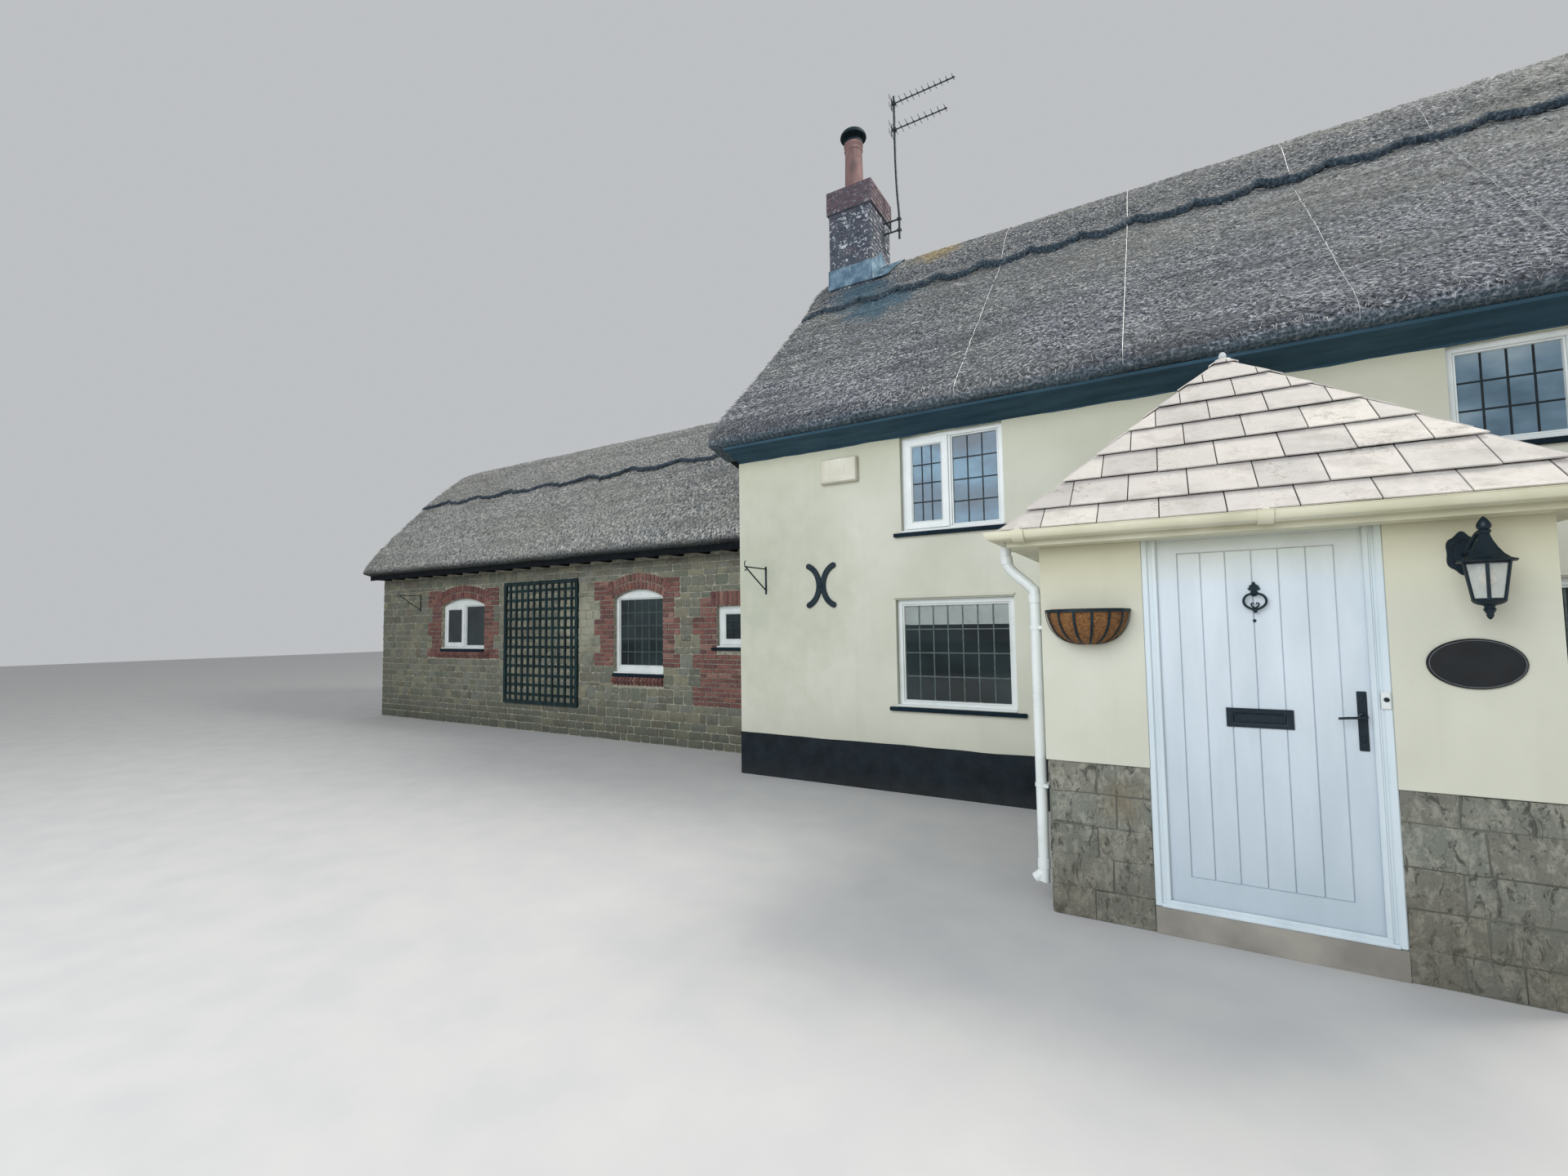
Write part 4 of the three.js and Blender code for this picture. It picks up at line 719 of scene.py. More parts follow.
# The coat's outside, its plain inside and its cut ends
def thatchCoat(coat, grid):
    shape = newShape()
    addLoops(shape, grid, closed=False)
    inner = [Vector((0, coat["ridgeY"] - d, z)) for d, z in coat["under"]]
    inner += [Vector((0, coat["ridgeY"] + d, z)) for d, z in reversed(coat["under"][:-1])]
    spans = [(b - a).length for a, b in zip(inner, inner[1:])]

    def insideAt(share):
        walk = share * sum(spans)
        for a, b, span in zip(inner, inner[1:], spans):
            if walk <= span:
                return a.lerp(b, walk / span)
            walk -= span
        return inner[-1].copy()

    layers = 7
    ends = []
    for row, sign in ((grid[0], -1), (grid[-1], 1)):
        lengths = [0.0]
        for a, b in zip(row, row[1:]):
            lengths.append(lengths[-1] + (b - a).length)
        loops = []
        for layer in range(layers + 1):
            t = layer / layers
            loop = []
            for point, length in zip(row, lengths):
                goal = insideAt(length / lengths[-1])
                goal.x = point.x
                place = point.lerp(goal, t)
                if 0 < t < 1:
                    bulge = 0.012 * math.sin(math.pi * min(1, t * 1.5)) + 0.008 * lump(place, 0.06, 5.0)
                    place.x += sign * bulge
                loop.append(place)
            loops.append(loop)
        addLoops(shape, loops, closed=False)
        ends.append(loops[-1])
    addLoops(shape, ends, closed=False)
    return shape


# Short straws lying on a grid, thin three-sided spikes that point down the slope, four in five at the front
def strayStraws(grid, howMany, seed, lowBias=1.0):
    dice = random.Random(seed)
    shape = newShape()
    wide = len(grid[0])
    ridge = max(range(wide), key=lambda i: grid[len(grid) // 2][i].z)
    across = Vector((1, 0, 0))
    for _ in range(howMany):
        i = dice.randrange(1, len(grid) - 1)
        if dice.random() < 0.8:
            j = 6 + int((ridge - 6) * dice.random() ** lowBias)
            down = -3
        else:
            j = dice.randrange(ridge, wide - 4)
            down = 2
        base = grid[i][j]
        way = (grid[i][max(0, min(wide - 1, j + down))] - base).normalized()
        out = across.cross(way).normalized()
        if out.z < 0:
            out = -out
        lean = (way + across * dice.uniform(-1.1, 1.1) + out * dice.uniform(0.0, 0.25)).normalized()
        half = dice.uniform(0.0025, 0.005)
        start = base + out * 0.005 + across * dice.uniform(-0.012, 0.012)
        tip = start + lean * dice.uniform(0.03, 0.09) + out * dice.uniform(0.004, 0.014)
        tip.x = min(max(tip.x, grid[0][0].x), grid[-1][0].x)
        points = [start - across * half, start + across * half, start + out * half * 1.6, tip]
        addPart(shape, points, [(0, 1, 3), (1, 2, 3), (2, 0, 3)])
    return shape


# lifts: how far the block stands over the coat, at distances from the ridge
houseRidge = {
    "left": -5.19, "right": 5.19, "ridgeY": 0.0, "bothEnds": True, "pitch": 0.028, "rows": 26, "seed": 12.0,
    "edge": 0.665, "scallop": 0.07, "wave": 0.61, "crest": -0.30, "ragged": 0.035, "taper": 0.33,
    "lifts": ((0.0, 0.205), (0.12, 0.215), (0.25, 0.228), (0.42, 0.195), (0.6, 0.10), (1.0, 0.075)),
}
wingRidge = {
    "left": -15.14, "right": -5.0, "ridgeY": 0.4, "bothEnds": False, "pitch": 0.038, "rows": 30,
    "seed": 17.0, "edge": 1.25, "scallop": 0.05, "wave": 1.115, "crest": -7.03, "ragged": 0.04,
    "taper": 0.25,
    "lifts": ((0.0, 0.088), (0.3, 0.10), (1.0, 0.09), (1.22, 0.06), (1.6, 0.05)),
}
ridgeBackRows = 10


# A height read off a list of (distance, height), with its corners eased where that is asked for
def heightAt(pairs, distance, eased=False):
    for (d0, z0), (d1, z1) in zip(pairs, pairs[1:]):
        if d0 <= distance <= d1:
            share = (distance - d0) / (d1 - d0)
            return z0 + (z1 - z0) * ((3 - 2 * share) * share ** 2 if eased else share)
    return pairs[-1][1]


edgeFace = ((-0.05, -0.03), (0.0, 0.0), (0.012, 0.3), (0.016, 0.62), (0.008, 0.88), (-0.014, 1.0))


# A ridge block's skin, from its front edge over the ridge to its back edge. edgeFace lists the points of
# the cut face: how far each stands out, and its share of the block's thickness.
def ridgeGrid(cap, coat):
    seed, lifts = cap["seed"], cap["lifts"]
    slope = coat["slope"][::-1]
    dice = random.Random(int(seed))
    grid = []
    for x in stations(cap):
        lobe = abs(math.cos((x - cap["crest"]) * math.pi / cap["wave"]))
        reach = cap["edge"] + cap["scallop"] * (2 * lobe ** 0.8 - 1.2)
        place = Vector((x, 0, 0))
        reach += cap["ragged"] * (lump(place, 0.45, seed) + lump(place, 0.11, 3.0))
        scale = 0.3 + 0.7 * math.sqrt(max(0.0, 1 - nearEnd(cap, x, cap["taper"]) ** 2))
        full = heightAt(lifts, reach, True) * scale
        row = []
        for side, rows in ((-1, cap["rows"]), (1, ridgeBackRows)):
            top = heightAt(slope, reach)
            half = [(reach + stand, top + full * share - 0.6 * stand) for stand, share in edgeFace]
            for i in range(1, rows + (side < 0)):
                d = reach * (1 - i / rows)
                half.append((d, heightAt(slope, d) + heightAt(lifts, d, True) * scale))
            if side > 0:
                half.reverse()
            for k, (d, z) in enumerate(half):
                point = Vector((x, cap["ridgeY"] + side * d, z))
                rough = lump(point, 0.5, seed) * 0.012 + lump(point, 0.06, seed) * 0.008
                if (k if side < 0 else len(half) - 1 - k) > 1:
                    point.z += rough * scale + dice.uniform(-0.003, 0.003)
                row.append(point)
        grid.append(row)
    return grid


# The block's cut faces, front and back, as sheets just outside its skin that carry the cut reed's painted
# shade
def ridgeEdges(grid):
    shape = newShape()
    count = len(edgeFace)
    for step in (-1, 1):
        off = Vector((0, step * 0.004, 0.001))
        addLoops(shape, [[p + off for p in row[::-step][:count]] for row in grid], closed=False)
    return shape


# Wires drawn down the slope over the netting's seams: x, and how far each stands off. The wire is 2 mm,
# drawn 5 mm to show, and a low one is half lost among the straws.
seams = ((-2.12, 0.008), (-0.66, 0.015), (0.85, 0.013), (1.98, 0.012))


def seamWires(shape, grid, places):
    left, right = grid[0][0].x, grid[-1][0].x
    for x, lift in places:
        row = grid[round((x - left) / (right - left) * (len(grid) - 1))]
        ridge = max(range(len(row)), key=lambda i: row[i].z)
        path = [p + Vector((0, -lift, lift)) for p in row[6:ridge:3]]
        addSweep(shape, path, roundSection(0.0025, 4))


# One roof, with its piece names and finishes, the number of straws on coat and ridge, and their seed
def layThatch(coat, ridge, names, looks, replaced, straws, seed, lowBias=1.0, places=()):
    wires = newShape()
    grid = thatchGrid(coat)
    piece(names[0] + "Coat", thatchCoat(coat, grid), looks[0], replaced + "thatch", 75)
    piece(names[0] + "Straws", strayStraws(grid, straws[0], seed, lowBias), "strayStraw")
    seamWires(wires, grid, places)
    cap = ridgeGrid(ridge, coat)
    block = newShape()
    addLoops(block, cap)
    piece(names[1] + "Block", block, looks[1], replaced + "ridge", 75)
    piece(names[1] + "Edges", ridgeEdges(cap), "cutReed", smooth=75)
    piece(names[1] + "Straws", strayStraws(cap, straws[1], seed + 1), "strayStraw")
    seamWires(wires, cap, places)
    return wires


seamWire = layThatch(houseCoat, houseRidge, ("thatch", "ridge"), ("wheatReed", "ridgeReed"), "main_",
                     (52000, 9000), 21, 1.35, seams)
piece("seamWires", seamWire, "galvanisedWire")
layThatch(wingCoat, wingRidge, ("wing", "wingRidge"), ("wingReed", "wingReed"), "wing_", (20000, 6000), 23)
print("thatch laid")

# Masonry


# Places and turns a thing so that its own axes lie along three ways
def axes(place, x, y, z):
    return Matrix.Translation(place) @ Matrix((x, y, z)).transposed().to_4x4()


# Axes of a wall: u along it, the second outwards, the third up
def wallAxes(origin, along, out):
    return axes(origin, along, out, (0, 0, 1))


# One stone: an uneven rounded outline at the mortar, a shoulder, and a crown that stands proud
def addStone(shape, u0, u1, v0, v1, proud, wall, dice, corner):
    corner = min(u1 - u0, v1 - v0) * dice.uniform(*corner)
    base = []
    for cu, cv, start in ((u1, v0, -90), (u1, v1, 0), (u0, v1, 90), (u0, v0, 180)):
        su, sv = (1 if cu == u1 else -1), (1 if cv == v1 else -1)
        for step in (0, 0.5, 1):
            angle = math.radians(start + 90 * step)
            u = cu - su * corner + corner * math.cos(angle) + dice.uniform(-0.005, 0.005)
            v = cv - sv * corner + corner * math.sin(angle) + dice.uniform(-0.005, 0.005)
            base.append((u, max(0.001, v)))
    mu, mv = (u0 + u1) / 2, (v0 + v1) / 2
    tilt = (dice.uniform(-0.02, 0.02), dice.uniform(-0.03, 0.03))
    loops = []
    for shrink, depth in ((1.0, -0.006), (0.98, 0.6), (0.80, 1.0)):
        loop = []
        for u, v in base:
            out = depth if depth < 0 else depth * proud * dice.uniform(0.85, 1.1)
            if depth > 0:
                out = max(0.001, out + tilt[0] * (u - mu) + tilt[1] * (v - mv))
            loop.append(wall @ Vector((mu + (u - mu) * shrink, out, mv + (v - mv) * shrink)))
        loops.append(loop)
    addLoops(shape, loops)


# Course lines up a wall that meet the tops and bottoms of its holes; edges within 30 mm share a line
def courseLines(v0, v1, holes, low, high, dice):
    fixed = [v0]
    for edge in sorted({edge for hole in holes for edge in hole[2:]} | {v1}):
        if fixed[-1] + 0.03 < edge <= v1:
            fixed.append(edge)
    lines = []
    for a, b in zip(fixed, fixed[1:]):
        steps = max(1, round((b - a) / dice.uniform(low, high)))
        for i in range(steps):
            lines.append(a + (b - a) * (i + (dice.uniform(-0.15, 0.15) if i else 0)) / steps)
    return lines + [fixed[-1]]


# Squared rubble between holes; top gives the wall's height at a place along it
def layRubble(shape, wall, u0, u1, v1, holes, plan, dice, top=None):
    lines = courseLines(0.0, v1, holes, *plan["course"], dice)
    joint = plan["joint"]
    shortest, longest = plan["length"]
    for low, high in zip(lines, lines[1:]):
        spans = [(u0, u1)]
        for a, b, c, d in holes:
            if c < high - 0.032 and d > low + 0.032:
                spans = [part for s, e in spans for part in ((s, min(e, a)), (max(s, b), e))
                         if part[1] - part[0] > 0.03]
        for start, end in spans:
            edges = [start]
            while end - edges[-1] > longest * 1.4:
                edges.append(edges[-1] + dice.uniform(shortest, longest))
            if end - edges[-1] > longest:
                edges.append((edges[-1] + end) / 2)
            edges.append(end)
            for a, b in zip(edges, edges[1:]):
                ceiling = min(high, top((a + b) / 2)) if top else high
                if ceiling - low < 0.05 or b - a < 0.04:
                    continue
                levels = [low, ceiling]
                if ceiling - low > 0.17 and dice.random() < plan["split"]:
                    levels.insert(1, low + (ceiling - low) * dice.uniform(0.4, 0.6))
                for r, s in zip(levels, levels[1:]):
                    proud = dice.uniform(*plan["proud"])
                    addStone(shape, a + joint, b - joint, r + joint, s - joint, proud, wall, dice,
                             plan["corner"])


rubblePlan = {
    "course": (0.11, 0.19), "length": (0.12, 0.32), "joint": 0.006, "proud": (0.007, 0.015), "split": 0.3,
    "corner": (0.10, 0.24),
}
porchStonePlan = {
    "course": (0.17, 0.22), "length": (0.14, 0.38), "joint": 0.0018, "proud": (0.008, 0.013), "split": 0.0,
    "corner": (0.02, 0.05),
}

brick = {"length": 0.213, "height": 0.064, "joint": 0.013}
brickPitch = brick["height"] + brick["joint"]


# Brick courses with alternate edges, such as a toothed jamb
def layBricks(shape, wall, u0, u1, v0, v1, dice, proud, deep, phase):
    rows = max(1, round((v1 - v0) / brickPitch))
    rise = (v1 - v0) / rows
    for row in range(rows):
        low = v0 + row * rise
        start = u0 - (brick["length"] + brick["joint"]) / 2 * ((row + phase) % 2)
        while start < u1 - 0.01:
            end = start + brick["length"]
            a, b = max(start, u0 + 0.002), min(end, u1 - brick["joint"] * 0.5)
            if b - a > 0.03:
                stand = proud + dice.uniform(-0.002, 0.002)
                addBlock(shape, (a, -deep, low + 0.006), (b, stand, low + rise - 0.006), 0.004, wall, dice)
            start = end + brick["joint"]


# The stack's shaft from under the thatch, and the band round its top, which stands out
chimneyPlan = {"start": 6.2, "bandBottom": 8.26, "bandTop": 8.63, "bandOut": 0.028}


def stackFaces(grow=0.0):
    low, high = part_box("chimney")
    out = chimneyPlan["bandOut"] - grow
    return low.x + out, high.x - out, low.y + out, high.y - out


def buildChimneyBricks():
    dice = random.Random(31)
    shape = newShape()
    levels = [chimneyPlan[name] for name in ("start", "bandBottom", "bandTop")]
    for stage, grow in enumerate((0.0, chimneyPlan["bandOut"])):
        x0, x1, y0, y1 = stackFaces(grow)
        for place, (a, b), width, phase in (
            ((x0, y0, 0), (1, 0), x1 - x0, 0), ((x1, y0, 0), (0, 1), y1 - y0, 1),
            ((x1, y1, 0), (-1, 0), x1 - x0, 0), ((x0, y1, 0), (0, -1), y1 - y0, 1),
        ):
            wall = wallAxes(place, (a, b, 0), (b, -a, 0))
            layBricks(shape, wall, 0.002, width - 0.002, levels[stage], levels[stage + 1], dice, 0.007, 0.02,
                      phase + stage)
    piece("chimneyBricks", shape, "sootedBrick")


# For each opening: the jambs' blocks as heights from the foot up, wide and narrow by turns, the reach of
# narrow and wide blocks left and right, and the sloping brick sill as (left, right, top, foot)
wingOpenings = {
    "window_wing_left": {
        "blocks": (1.249, 1.425, 1.68, 1.934, 2.236, 2.571), "left": (0.307, 0.46), "right": (0.272, 0.421),
        "sill": (-13.057, -11.36, 1.362, 1.245), "rise": 0.13,
    },
    "window_wing_middle": {
        "blocks": (1.17, 1.379, 1.667, 1.93, 2.237, 2.55), "left": (0.30, 0.44), "right": (0.23, 0.34),
        "sill": (-8.20, -7.12, 1.012, 0.86), "rise": 0.13,
    },
    "window_wing_right": {
        "blocks": (0.62, 0.9, 1.17, 1.379, 1.667, 1.93, 2.21), "left": (0.30, 0.44), "right": (0.23, 0.34),
    },
}
backOpening = {**wingOpenings["window_wing_left"], "sill": (9.18, 10.88, 1.362, 1.245)}


# The centre's height and the radius of an arch over a width
def archOver(half, rise, crown):
    radius = (half * half + rise * rise) / (2 * rise)
    return radius, crown - radius


# Brick jambs, arch and sloping sill round one opening in a stone wall; gives back the holes they fill
def dressOpening(shape, wall, u0, u1, v0, v1, plan, dice):
    holes = [(u0, u1, v0, v1)]
    for i, (low, high) in enumerate(zip(plan["blocks"], plan["blocks"][1:])):
        wide = (i + 1) % 2
        left, right = u0 - plan["left"][wide], u1 + plan["right"][wide]
        for a, b in ((left, right),) if high < v0 - 0.1 else ((left, u0), (u1, right)):
            layBricks(shape, wall, a, b, low, high, dice, 0.014, 0.05, i)
        holes.append((left, right, low, high))
    if "rise" in plan:
        half = (u1 - u0) / 2
        radius, centre = archOver(half, plan["rise"], v1)
        thick = brick["height"] / 2 - 0.001
        for ring in range(2):
            inner = radius + 0.006 + ring * 0.13
            reach = math.asin(half / radius) * (1.04 + 0.05 * ring)
            count = round(2 * reach * inner / brickPitch)
            for i in range(count):
                turn = Matrix.Rotation(-reach + 2 * reach * (i + 0.5) / count, 4, "Y")
                place = wall @ (Matrix.Translation(((u0 + u1) / 2, 0, centre)) @ turn)
                addBlock(shape, (-thick, -0.05, inner), (thick, 0.018, inner + 0.116), 0.004, place, dice)
            holes.append((u0 + 0.1, u1 - 0.1, v1, v1 + 0.25))
    else:
        width = u1 - u0 + 0.2
        count = round(width / brickPitch)
        for i in range(count):
            a = u0 - 0.1 + i * width / count
            b = a + brickPitch
            low, high = (a + 0.006, -0.05, v1 + 0.006), (b - 0.006, 0.018, v1 + 0.215)
            addBlock(shape, low, high, 0.004, wall, dice)
        holes.append((u0 - 0.1, u1 + 0.1, v1, v1 + 0.22))
    if "sill" in plan:
        left, right, top, foot = plan["sill"]
        count = round((right - left) / brickPitch)
        wide = (right - left) / count
        for i in range(count):
            place = Matrix.Translation((left + (i + 0.5) * wide, 0.0, (top + foot) / 2))
            place = wall @ (place @ Matrix.Rotation(math.radians(-40), 4, "X"))
            half = wide / 2 - 0.009
            addBlock(shape, (-half, -0.08, -0.06), (half, 0.042, 0.06), 0.006, place, dice)
        holes.append((left, right, foot - 0.02, v0))
    return holes


def buildWingMasonry():
    dice = random.Random(41)
    stones, backStones, bricks = newShape(), newShape(), newShape()
    low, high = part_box("wing_front_wall")
    front = wallAxes((0, low.y, 0), (1, 0, 0), (0, -1, 0))
    holes = {}
    for node, plan in wingOpenings.items():
        holes[node] = dressOpening(bricks, front, *frontOf(*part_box(node)), plan, dice)
    seam = -9.9      # the courses change behind the trellis
    top = high.z - 0.06
    layRubble(stones, front, low.x, seam, top, holes["window_wing_left"], rubblePlan, dice)
    layRubble(stones, front, seam, high.x, top, holes["window_wing_middle"] + holes["window_wing_right"],
              rubblePlan, dice)
    frontY = low.y
    low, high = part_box("wing_back_wall")
    back = wallAxes((0, high.y, 0), (-1, 0, 0), (0, 1, 0))
    x0, x1, z0, z1 = frontOf(*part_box("window_wing_back"))
    hole = dressOpening(bricks, back, -x1, -x0, z0, z1, backOpening, dice)
    layRubble(backStones, back, -high.x, -low.x, high.z - 0.06, hole, rubblePlan, dice)
    endLow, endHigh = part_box("wing_gable_wall")
    end = wallAxes((endLow.x, 0, 0), (0, -1, 0), (-1, 0, 0))
    middle, half = -(frontY + high.y) / 2, (high.y - frontY) / 2
    rate = (endHigh.z - high.z) / (half - 0.45)

    def gableTop(u):
        return min(endHigh.z, high.z + (half - abs(u - middle)) * rate * 0.93)

    layRubble(backStones, end, -high.y, -frontY, endHigh.z, [], rubblePlan, dice, gableTop)
    piece("wingStones", stones, "greensandRubble", smooth=50)
    piece("wingBackStones", backStones, "greensandRubble", smooth=50)
    piece("wingBricks", bricks, "handmadeBrick")


def buildPorchStones():
    dice = random.Random(47)
    shape = newShape()
    top = 0.93
    step = 0.015
    for node, side in (("porch_wall_left", -1), ("porch_wall_right", 1)):
        low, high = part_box(node)
        frontY = low.y + step
        across = (low.x + step, high.x) if side < 0 else (low.x, high.x - step)
        front = wallAxes((0, frontY, 0), (1, 0, 0), (0, -1, 0))
        layRubble(shape, front, *across, top, [], porchStonePlan, dice)
        flank = wallAxes((across[side > 0], 0, 0), (0, -side, 0), (side, 0, 0))
        layRubble(shape, flank, *sorted((-side * frontY, -side * high.y)), top, [], porchStonePlan, dice)
    piece("porchStones", shape, "rivenStone", smooth=50)


plinthPlan = {"top": 0.50, "wander": 0.012, "out": 0.007, "pitch": 0.12}


def buildPlinth():
    low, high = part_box("front_wall_left")[0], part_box("front_wall_right")[1]
    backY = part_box("back_wall")[1].y
    porchLeft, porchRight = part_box("porch_wall_left")[0].x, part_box("porch_wall_right")[1].x
    wingFront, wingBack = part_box("wing_front_wall")[0].y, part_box("wing_back_wall")[1].y
    runs = (
        ((low.x, low.y), (porchLeft, low.y), (0, -1)),
        ((porchRight, low.y), (high.x, low.y), (0, -1)),
        ((high.x, low.y), (high.x, backY), (1, 0)),
        ((high.x, backY), (low.x, backY), (0, 1)),
        ((low.x, backY), (low.x, wingBack), (-1, 0)),
        ((low.x, wingFront), (low.x, low.y), (-1, 0)),
    )
    shape = newShape()
    for start, end, out in runs:
        start, end, out = Vector((*start, 0)), Vector((*end, 0)), Vector((*out, 0))
        steps = max(2, round((end - start).length / plinthPlan["pitch"]))
        loops = []
        for i in range(steps + 1):
            foot = start.lerp(end, i / steps)
            top = Vector((0, 0, plinthPlan["top"] + plinthPlan["wander"] * lump(foot, 0.45, 6.0)))
            face = foot + out * plinthPlan["out"]
            blunt = face + top - Vector((0, 0, 0.006))
            loops.append([foot - out * 0.002, face, blunt, foot + top - out * 0.002])
        addLoops(shape, loops)
    piece("blackPlinth", shape, "plinthPaint", smooth=40)
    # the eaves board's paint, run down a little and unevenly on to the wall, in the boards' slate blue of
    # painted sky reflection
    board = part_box("front_eaves_board")[0].z
    paint = newShape()
    loops = []
    inside, outside = low.y + 0.001, low.y - 0.0015
    for i in range(121):
        x = low.x + 0.002 + (high.x - low.x - 0.004) * i / 120
        place = Vector((x, 0, 0))
        foot = board - max(0.002, 0.014 + 0.016 * lump(place, 0.5, 9.0) + 0.006 * lump(place, 0.13, 2.0))
        loops.append([(x, inside, board + 0.01), (x, outside, board + 0.01), (x, outside, foot + 0.001),
                      (x, inside, foot)])
    addLoops(paint, loops)
    piece("eavesPaint", paint, "blackPaintPaintedSkyReflection", smooth=40)


buildChimneyBricks()
buildWingMasonry()
buildPorchStones()
buildPlinth()
print("masonry laid")

# Porch roof

slatePlan = {
    "gauge": 0.3235, "first": 0.23, "width": 0.3125, "thick": 0.008, "gap": 0.0055, "eaves": 0.05,
    "tail": 0.029, "head": 0.008, "uneven": 0.006,
}


# Keeps the part of a polygon on the left of the line from a to b
def clip(polygon, a, b):
    def side(p):
        return (b[0] - a[0]) * (p[1] - a[1]) - (b[1] - a[1]) * (p[0] - a[0])

    kept = []
    for p, q in zip(polygon, polygon[1:] + polygon[:1]):
        sp, sq = side(p), side(q)
        if sp >= 0:
            kept.append(p)
        if (sp > 0 > sq) or (sp < 0 < sq):
            t = sp / (sp - sq)
            kept.append((p[0] + (q[0] - p[0]) * t, p[1] + (q[1] - p[1]) * t))
    return kept


# Slates on one roof plane. Its outline is counterclockwise in u and v; into places u, v and out.
def laySlates(shape, outline, into, dice):
    plan = slatePlan
    highest = max(v for _, v in outline)
    left, right = min(u for u, _ in outline), max(u for u, _ in outline)
    row = 0
    low = -plan["eaves"]
    while low < highest - 0.03:
        tall = plan["gauge"] if row else plan["first"]
        joints = [left - plan["width"] * (0.5 * (row % 2) + 0.33)]
        while joints[-1] < right:
            joints.append(joints[-1] + plan["width"])
        joints = [joint + dice.uniform(-1, 1) * plan["uneven"] for joint in joints]
        for a, b in zip(joints, joints[1:]):
            v0 = low + dice.uniform(-1, 0.6) * plan["uneven"]
            v1 = low + tall + 0.02
            u0, u1 = a + plan["gap"] / 2, b - plan["gap"] / 2
            polygon = [(u, v0 + dice.uniform(0, 0.006)) for u in (u0, u1)] + [(u1, v1), (u0, v1)]
            for p, q in zip(outline, outline[1:] + outline[:1]):
                if len(polygon) > 2 and max(abs(p[1]), abs(q[1])) >= 1e-6:      # slates overhang the eaves
                    polygon = clip(polygon, p, q)
            if len(polygon) < 3 or max(p[0] for p in polygon) - min(p[0] for p in polygon) <= 0.02:
                continue
            sit = dice.uniform(-0.0015, 0.0015)
            mu, mv = (sum(p[i] for p in polygon) / len(polygon) for i in (0, 1))
            loops = []
            for shrink, sunk in ((0, plan["thick"]), (0, 0.002), (0.012, 0)):
                loop = []
                for u, v in polygon:
                    rise = plan["tail"] + (plan["head"] - plan["tail"]) * (v - low) / (tall + 0.02) + sit
                    spread = (u + (mu - u) * shrink, v + (mv - v) * shrink, rise - sunk)
                    loop.append(into @ Vector(spread))
                loops.append(loop)
            addLoops(shape, loops)
        low += tall
        row += 1


# The lead cap on the point of the roof: eight corners as shares of its reach, with a lift, at six levels
capCorners = ((-1, -1, 0), (0, -1.2, -0.002), (1, -1, 0), (1.1, 0.4, 0.002), (1, 1, 0), (0, 1.1, 0.004),
              (-1, 1, 0), (-1.1, 0.4, 0.002))
capLevels = ((0.05, 0.012), (0.0475, 0.022), (0.018, 0.02), (0.024, 0.038), (0.02, 0.052), (0.008, 0.06))


def buildPorchRoof():
    low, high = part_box("porch_roof")
    eaves = low.z + 0.06
    apexY, wallY, rise = -3.458, high.y, high.z - eaves
    deep, top = wallY - low.y, wallY - apexY
    dice = random.Random(53)
    shape = newShape()
    for x, y, along, up, outline in (
        (low.x, low.y, (1, 0, 0), (0, apexY - low.y, rise), ((0, 0), (high.x - low.x, 0), (-low.x, 1))),
        (low.x, wallY, (0, -1, 0), (high.x, 0, rise), ((0, 0), (deep, 0), (top, 1), (0, 1))),
        (high.x, low.y, (0, 1, 0), (-high.x, 0, rise), ((0, 0), (deep, 0), (deep, 1), (deep - top, 1))),
    ):
        along, up = Vector(along), Vector(up)
        tall = up.length
        up.normalize()
        into = axes((x, y, eaves), along, up, along.cross(up))
        laySlates(shape, [(u, v * tall) for u, v in outline], into, dice)
    piece("porchSlates", shape, "bleachedSlate")

    cap = newShape()
    fall = rise / (apexY - low.y)
    loops = []
    for reach, lift in capLevels:
        z = high.z + lift - reach * fall * 0.9
        loops.append([(a * reach, apexY + b * reach, z + c) for a, b, c in capCorners])
    addLoops(cap, loops)
    steps = 14
    for side in (-1, 1):
        for i in range(steps):
            x0, x1 = (side * high.x * (1 - min(k / steps, 1)) for k in (i, i + 1.15))
            z = eaves + rise * i / steps
            addBlock(cap, (x0, wallY - 0.035, z + 0.005), (x1, wallY - 0.001, z + 0.165))
    addBlock(cap, (-0.05, apexY + 0.04, high.z - 0.004), (0.05, wallY, high.z + 0.022), 0.01)
    piece("porchLead", cap, "weatheredLead", smooth=40)


gutterPlan = {"z": 2.34, "radius": 0.056, "wall": 0.004, "unions": (-1.20, 0.02, 1.20)}


# A gutter's section as (out, up), swelled by a margin for its unions and brackets
def halfRound(margin, wall, z):
    sides = 16
    centre = gutterPlan["radius"]
    outer, inner = ([(centre - r * math.cos(math.pi * i / sides), z - r * math.sin(math.pi * i / sides))
                     for i in range(sides + 1)] for r in (centre + margin, centre + margin - wall))
    edge = outer[-1][0]
    lip = [(edge + 0.003, z + 0.001), (edge + 0.002, z + 0.005), (inner[-1][0], z + 0.004)]
    return outer + lip + inner[::-1]


